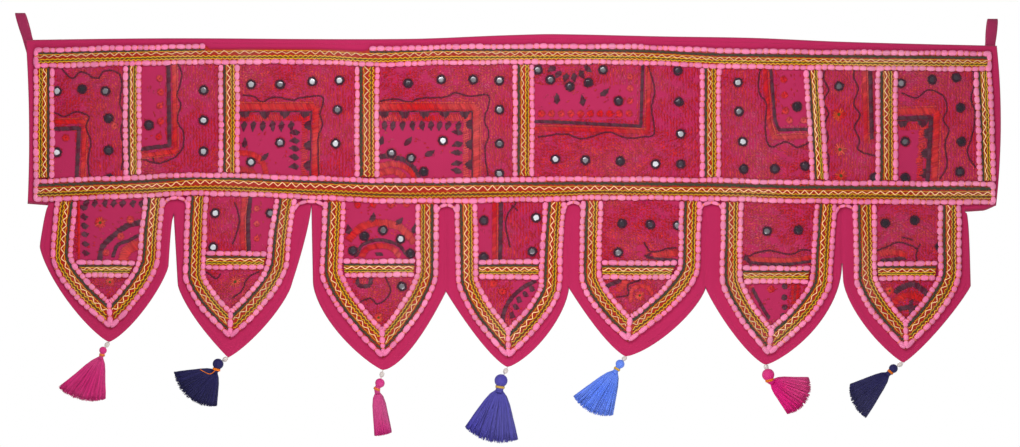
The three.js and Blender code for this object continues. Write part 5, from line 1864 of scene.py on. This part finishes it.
def set_floor(scene):
    """A plain pale floor, well under the hanging."""
    corners = [(x * FLOOR["half"], FLOOR[y], FLOOR["low"])
               for x, y in ((-1, "near"), (1, "near"), (1, "far"), (-1, "far"))]
    mesh = bpy.data.meshes.new("floor")
    mesh.from_pydata(corners, [], [(0, 1, 2, 3)])
    floor = bpy.data.objects.new("floor", mesh)
    scene.collection.objects.link(floor)
    paint = bpy.data.materials.new("floor_paint")
    paint.use_nodes = True
    feed(paint.node_tree.nodes["Principled BSDF"], {"Base Color": (0.8, 0.8, 0.8, 1), "Roughness": 0.9})
    mesh.materials.append(paint)


def set_light(scene):
    """Soft lights that face the hanging's middle, in a world that looks white and lights dimly."""
    world = bpy.data.worlds.new("studio")
    scene.world = world
    world.use_nodes = True
    nodes = world.node_tree.nodes
    seen = nodes.new("ShaderNodeLightPath").outputs["Is Camera Ray"]
    level = feed(nodes.new("ShaderNodeMapRange"), {"Value": seen, "To Min": WORLD_LIGHT, "To Max": 1.0})
    feed(nodes["Background"], {"Color": (1, 1, 1, 1), "Strength": level["Result"]})
    for name, (place, size, power) in LIGHTS.items():
        light = bpy.data.lights.new(name, "AREA")
        light.size = size
        light.energy = power
        holder = bpy.data.objects.new(name, light)
        holder.location = place
        x, y, z = np.array([CENTRE[0], 0.0, CENTRE[1]]) - np.array(place)
        holder.rotation_euler = (math.atan2(math.hypot(x, y), -z), 0, math.atan2(y, x) - math.pi / 2)
        scene.collection.objects.link(holder)


def set_camera(scene):
    """A camera square to the hanging, whose lens shows the photographed width at its distance."""
    lens = bpy.data.cameras.new("camera")
    lens.sensor_width = FILM_WIDE
    lens.lens = FILM_WIDE * CAMERA_AWAY / (IMAGE_WIDE * MM_PER_PIXEL * MM)
    lens.clip_end = 100
    camera = bpy.data.objects.new("camera", lens)
    camera.location = (CENTRE[0], -CAMERA_AWAY, CENTRE[1])
    camera.rotation_euler = (math.pi / 2, 0, 0)
    scene.collection.objects.link(camera)
    scene.camera = camera


class TORAN_OT_stage(bpy.types.Operator):
    """Set the floor, the light and the camera."""

    bl_idname = "toran.stage"
    bl_label = "Floor, light and camera"

    def execute(self, context):
        context.scene.view_settings.view_transform = "Standard"
        set_floor(context.scene)
        set_light(context.scene)
        set_camera(context.scene)
        return {"FINISHED"}


class TORAN_PT_panel(bpy.types.Panel):
    """Lists the steps, sizes and colours."""

    bl_idname = "TORAN_PT_panel"
    bl_label = "Toran"
    bl_space_type = "VIEW_3D"
    bl_region_type = "UI"
    bl_category = "Toran"

    def draw(self, context):
        for name in GROUPS:
            group = getattr(context.scene, name)
            column = self.layout.column(align=True)
            for key in group.bl_rna.properties.keys():
                if key not in ("rna_type", "name"):
                    column.prop(group, key)
        for step in STEPS:
            self.layout.operator(step.bl_idname)


STEPS = (
    TORAN_OT_stage, TORAN_OT_backing, TORAN_OT_patches, TORAN_OT_trims, TORAN_OT_tassels, TORAN_OT_loops,
)
GROUPS = {"toran_cloth": ToranCloth, "toran_tassels": ToranTassels, "toran_colours": ToranColours}


def register():
    """Make the steps, sizes and colours known, and hang the groups on the scene."""
    for one in (*GROUPS.values(), *STEPS, TORAN_PT_panel):
        bpy.utils.register_class(one)
    for name, group in GROUPS.items():
        setattr(bpy.types.Scene, name, bpy.props.PointerProperty(type=group))


def unregister():
    """Take away what register added."""
    for name in GROUPS:
        delattr(bpy.types.Scene, name)
    for one in reversed((*GROUPS.values(), *STEPS, TORAN_PT_panel)):
        bpy.utils.unregister_class(one)


def main():
    """Run every step."""
    register()
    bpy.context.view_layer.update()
    for step in STEPS:
        getattr(bpy.ops.toran, step.bl_idname.split(".")[1])()


if __name__ == "__main__":
    main()
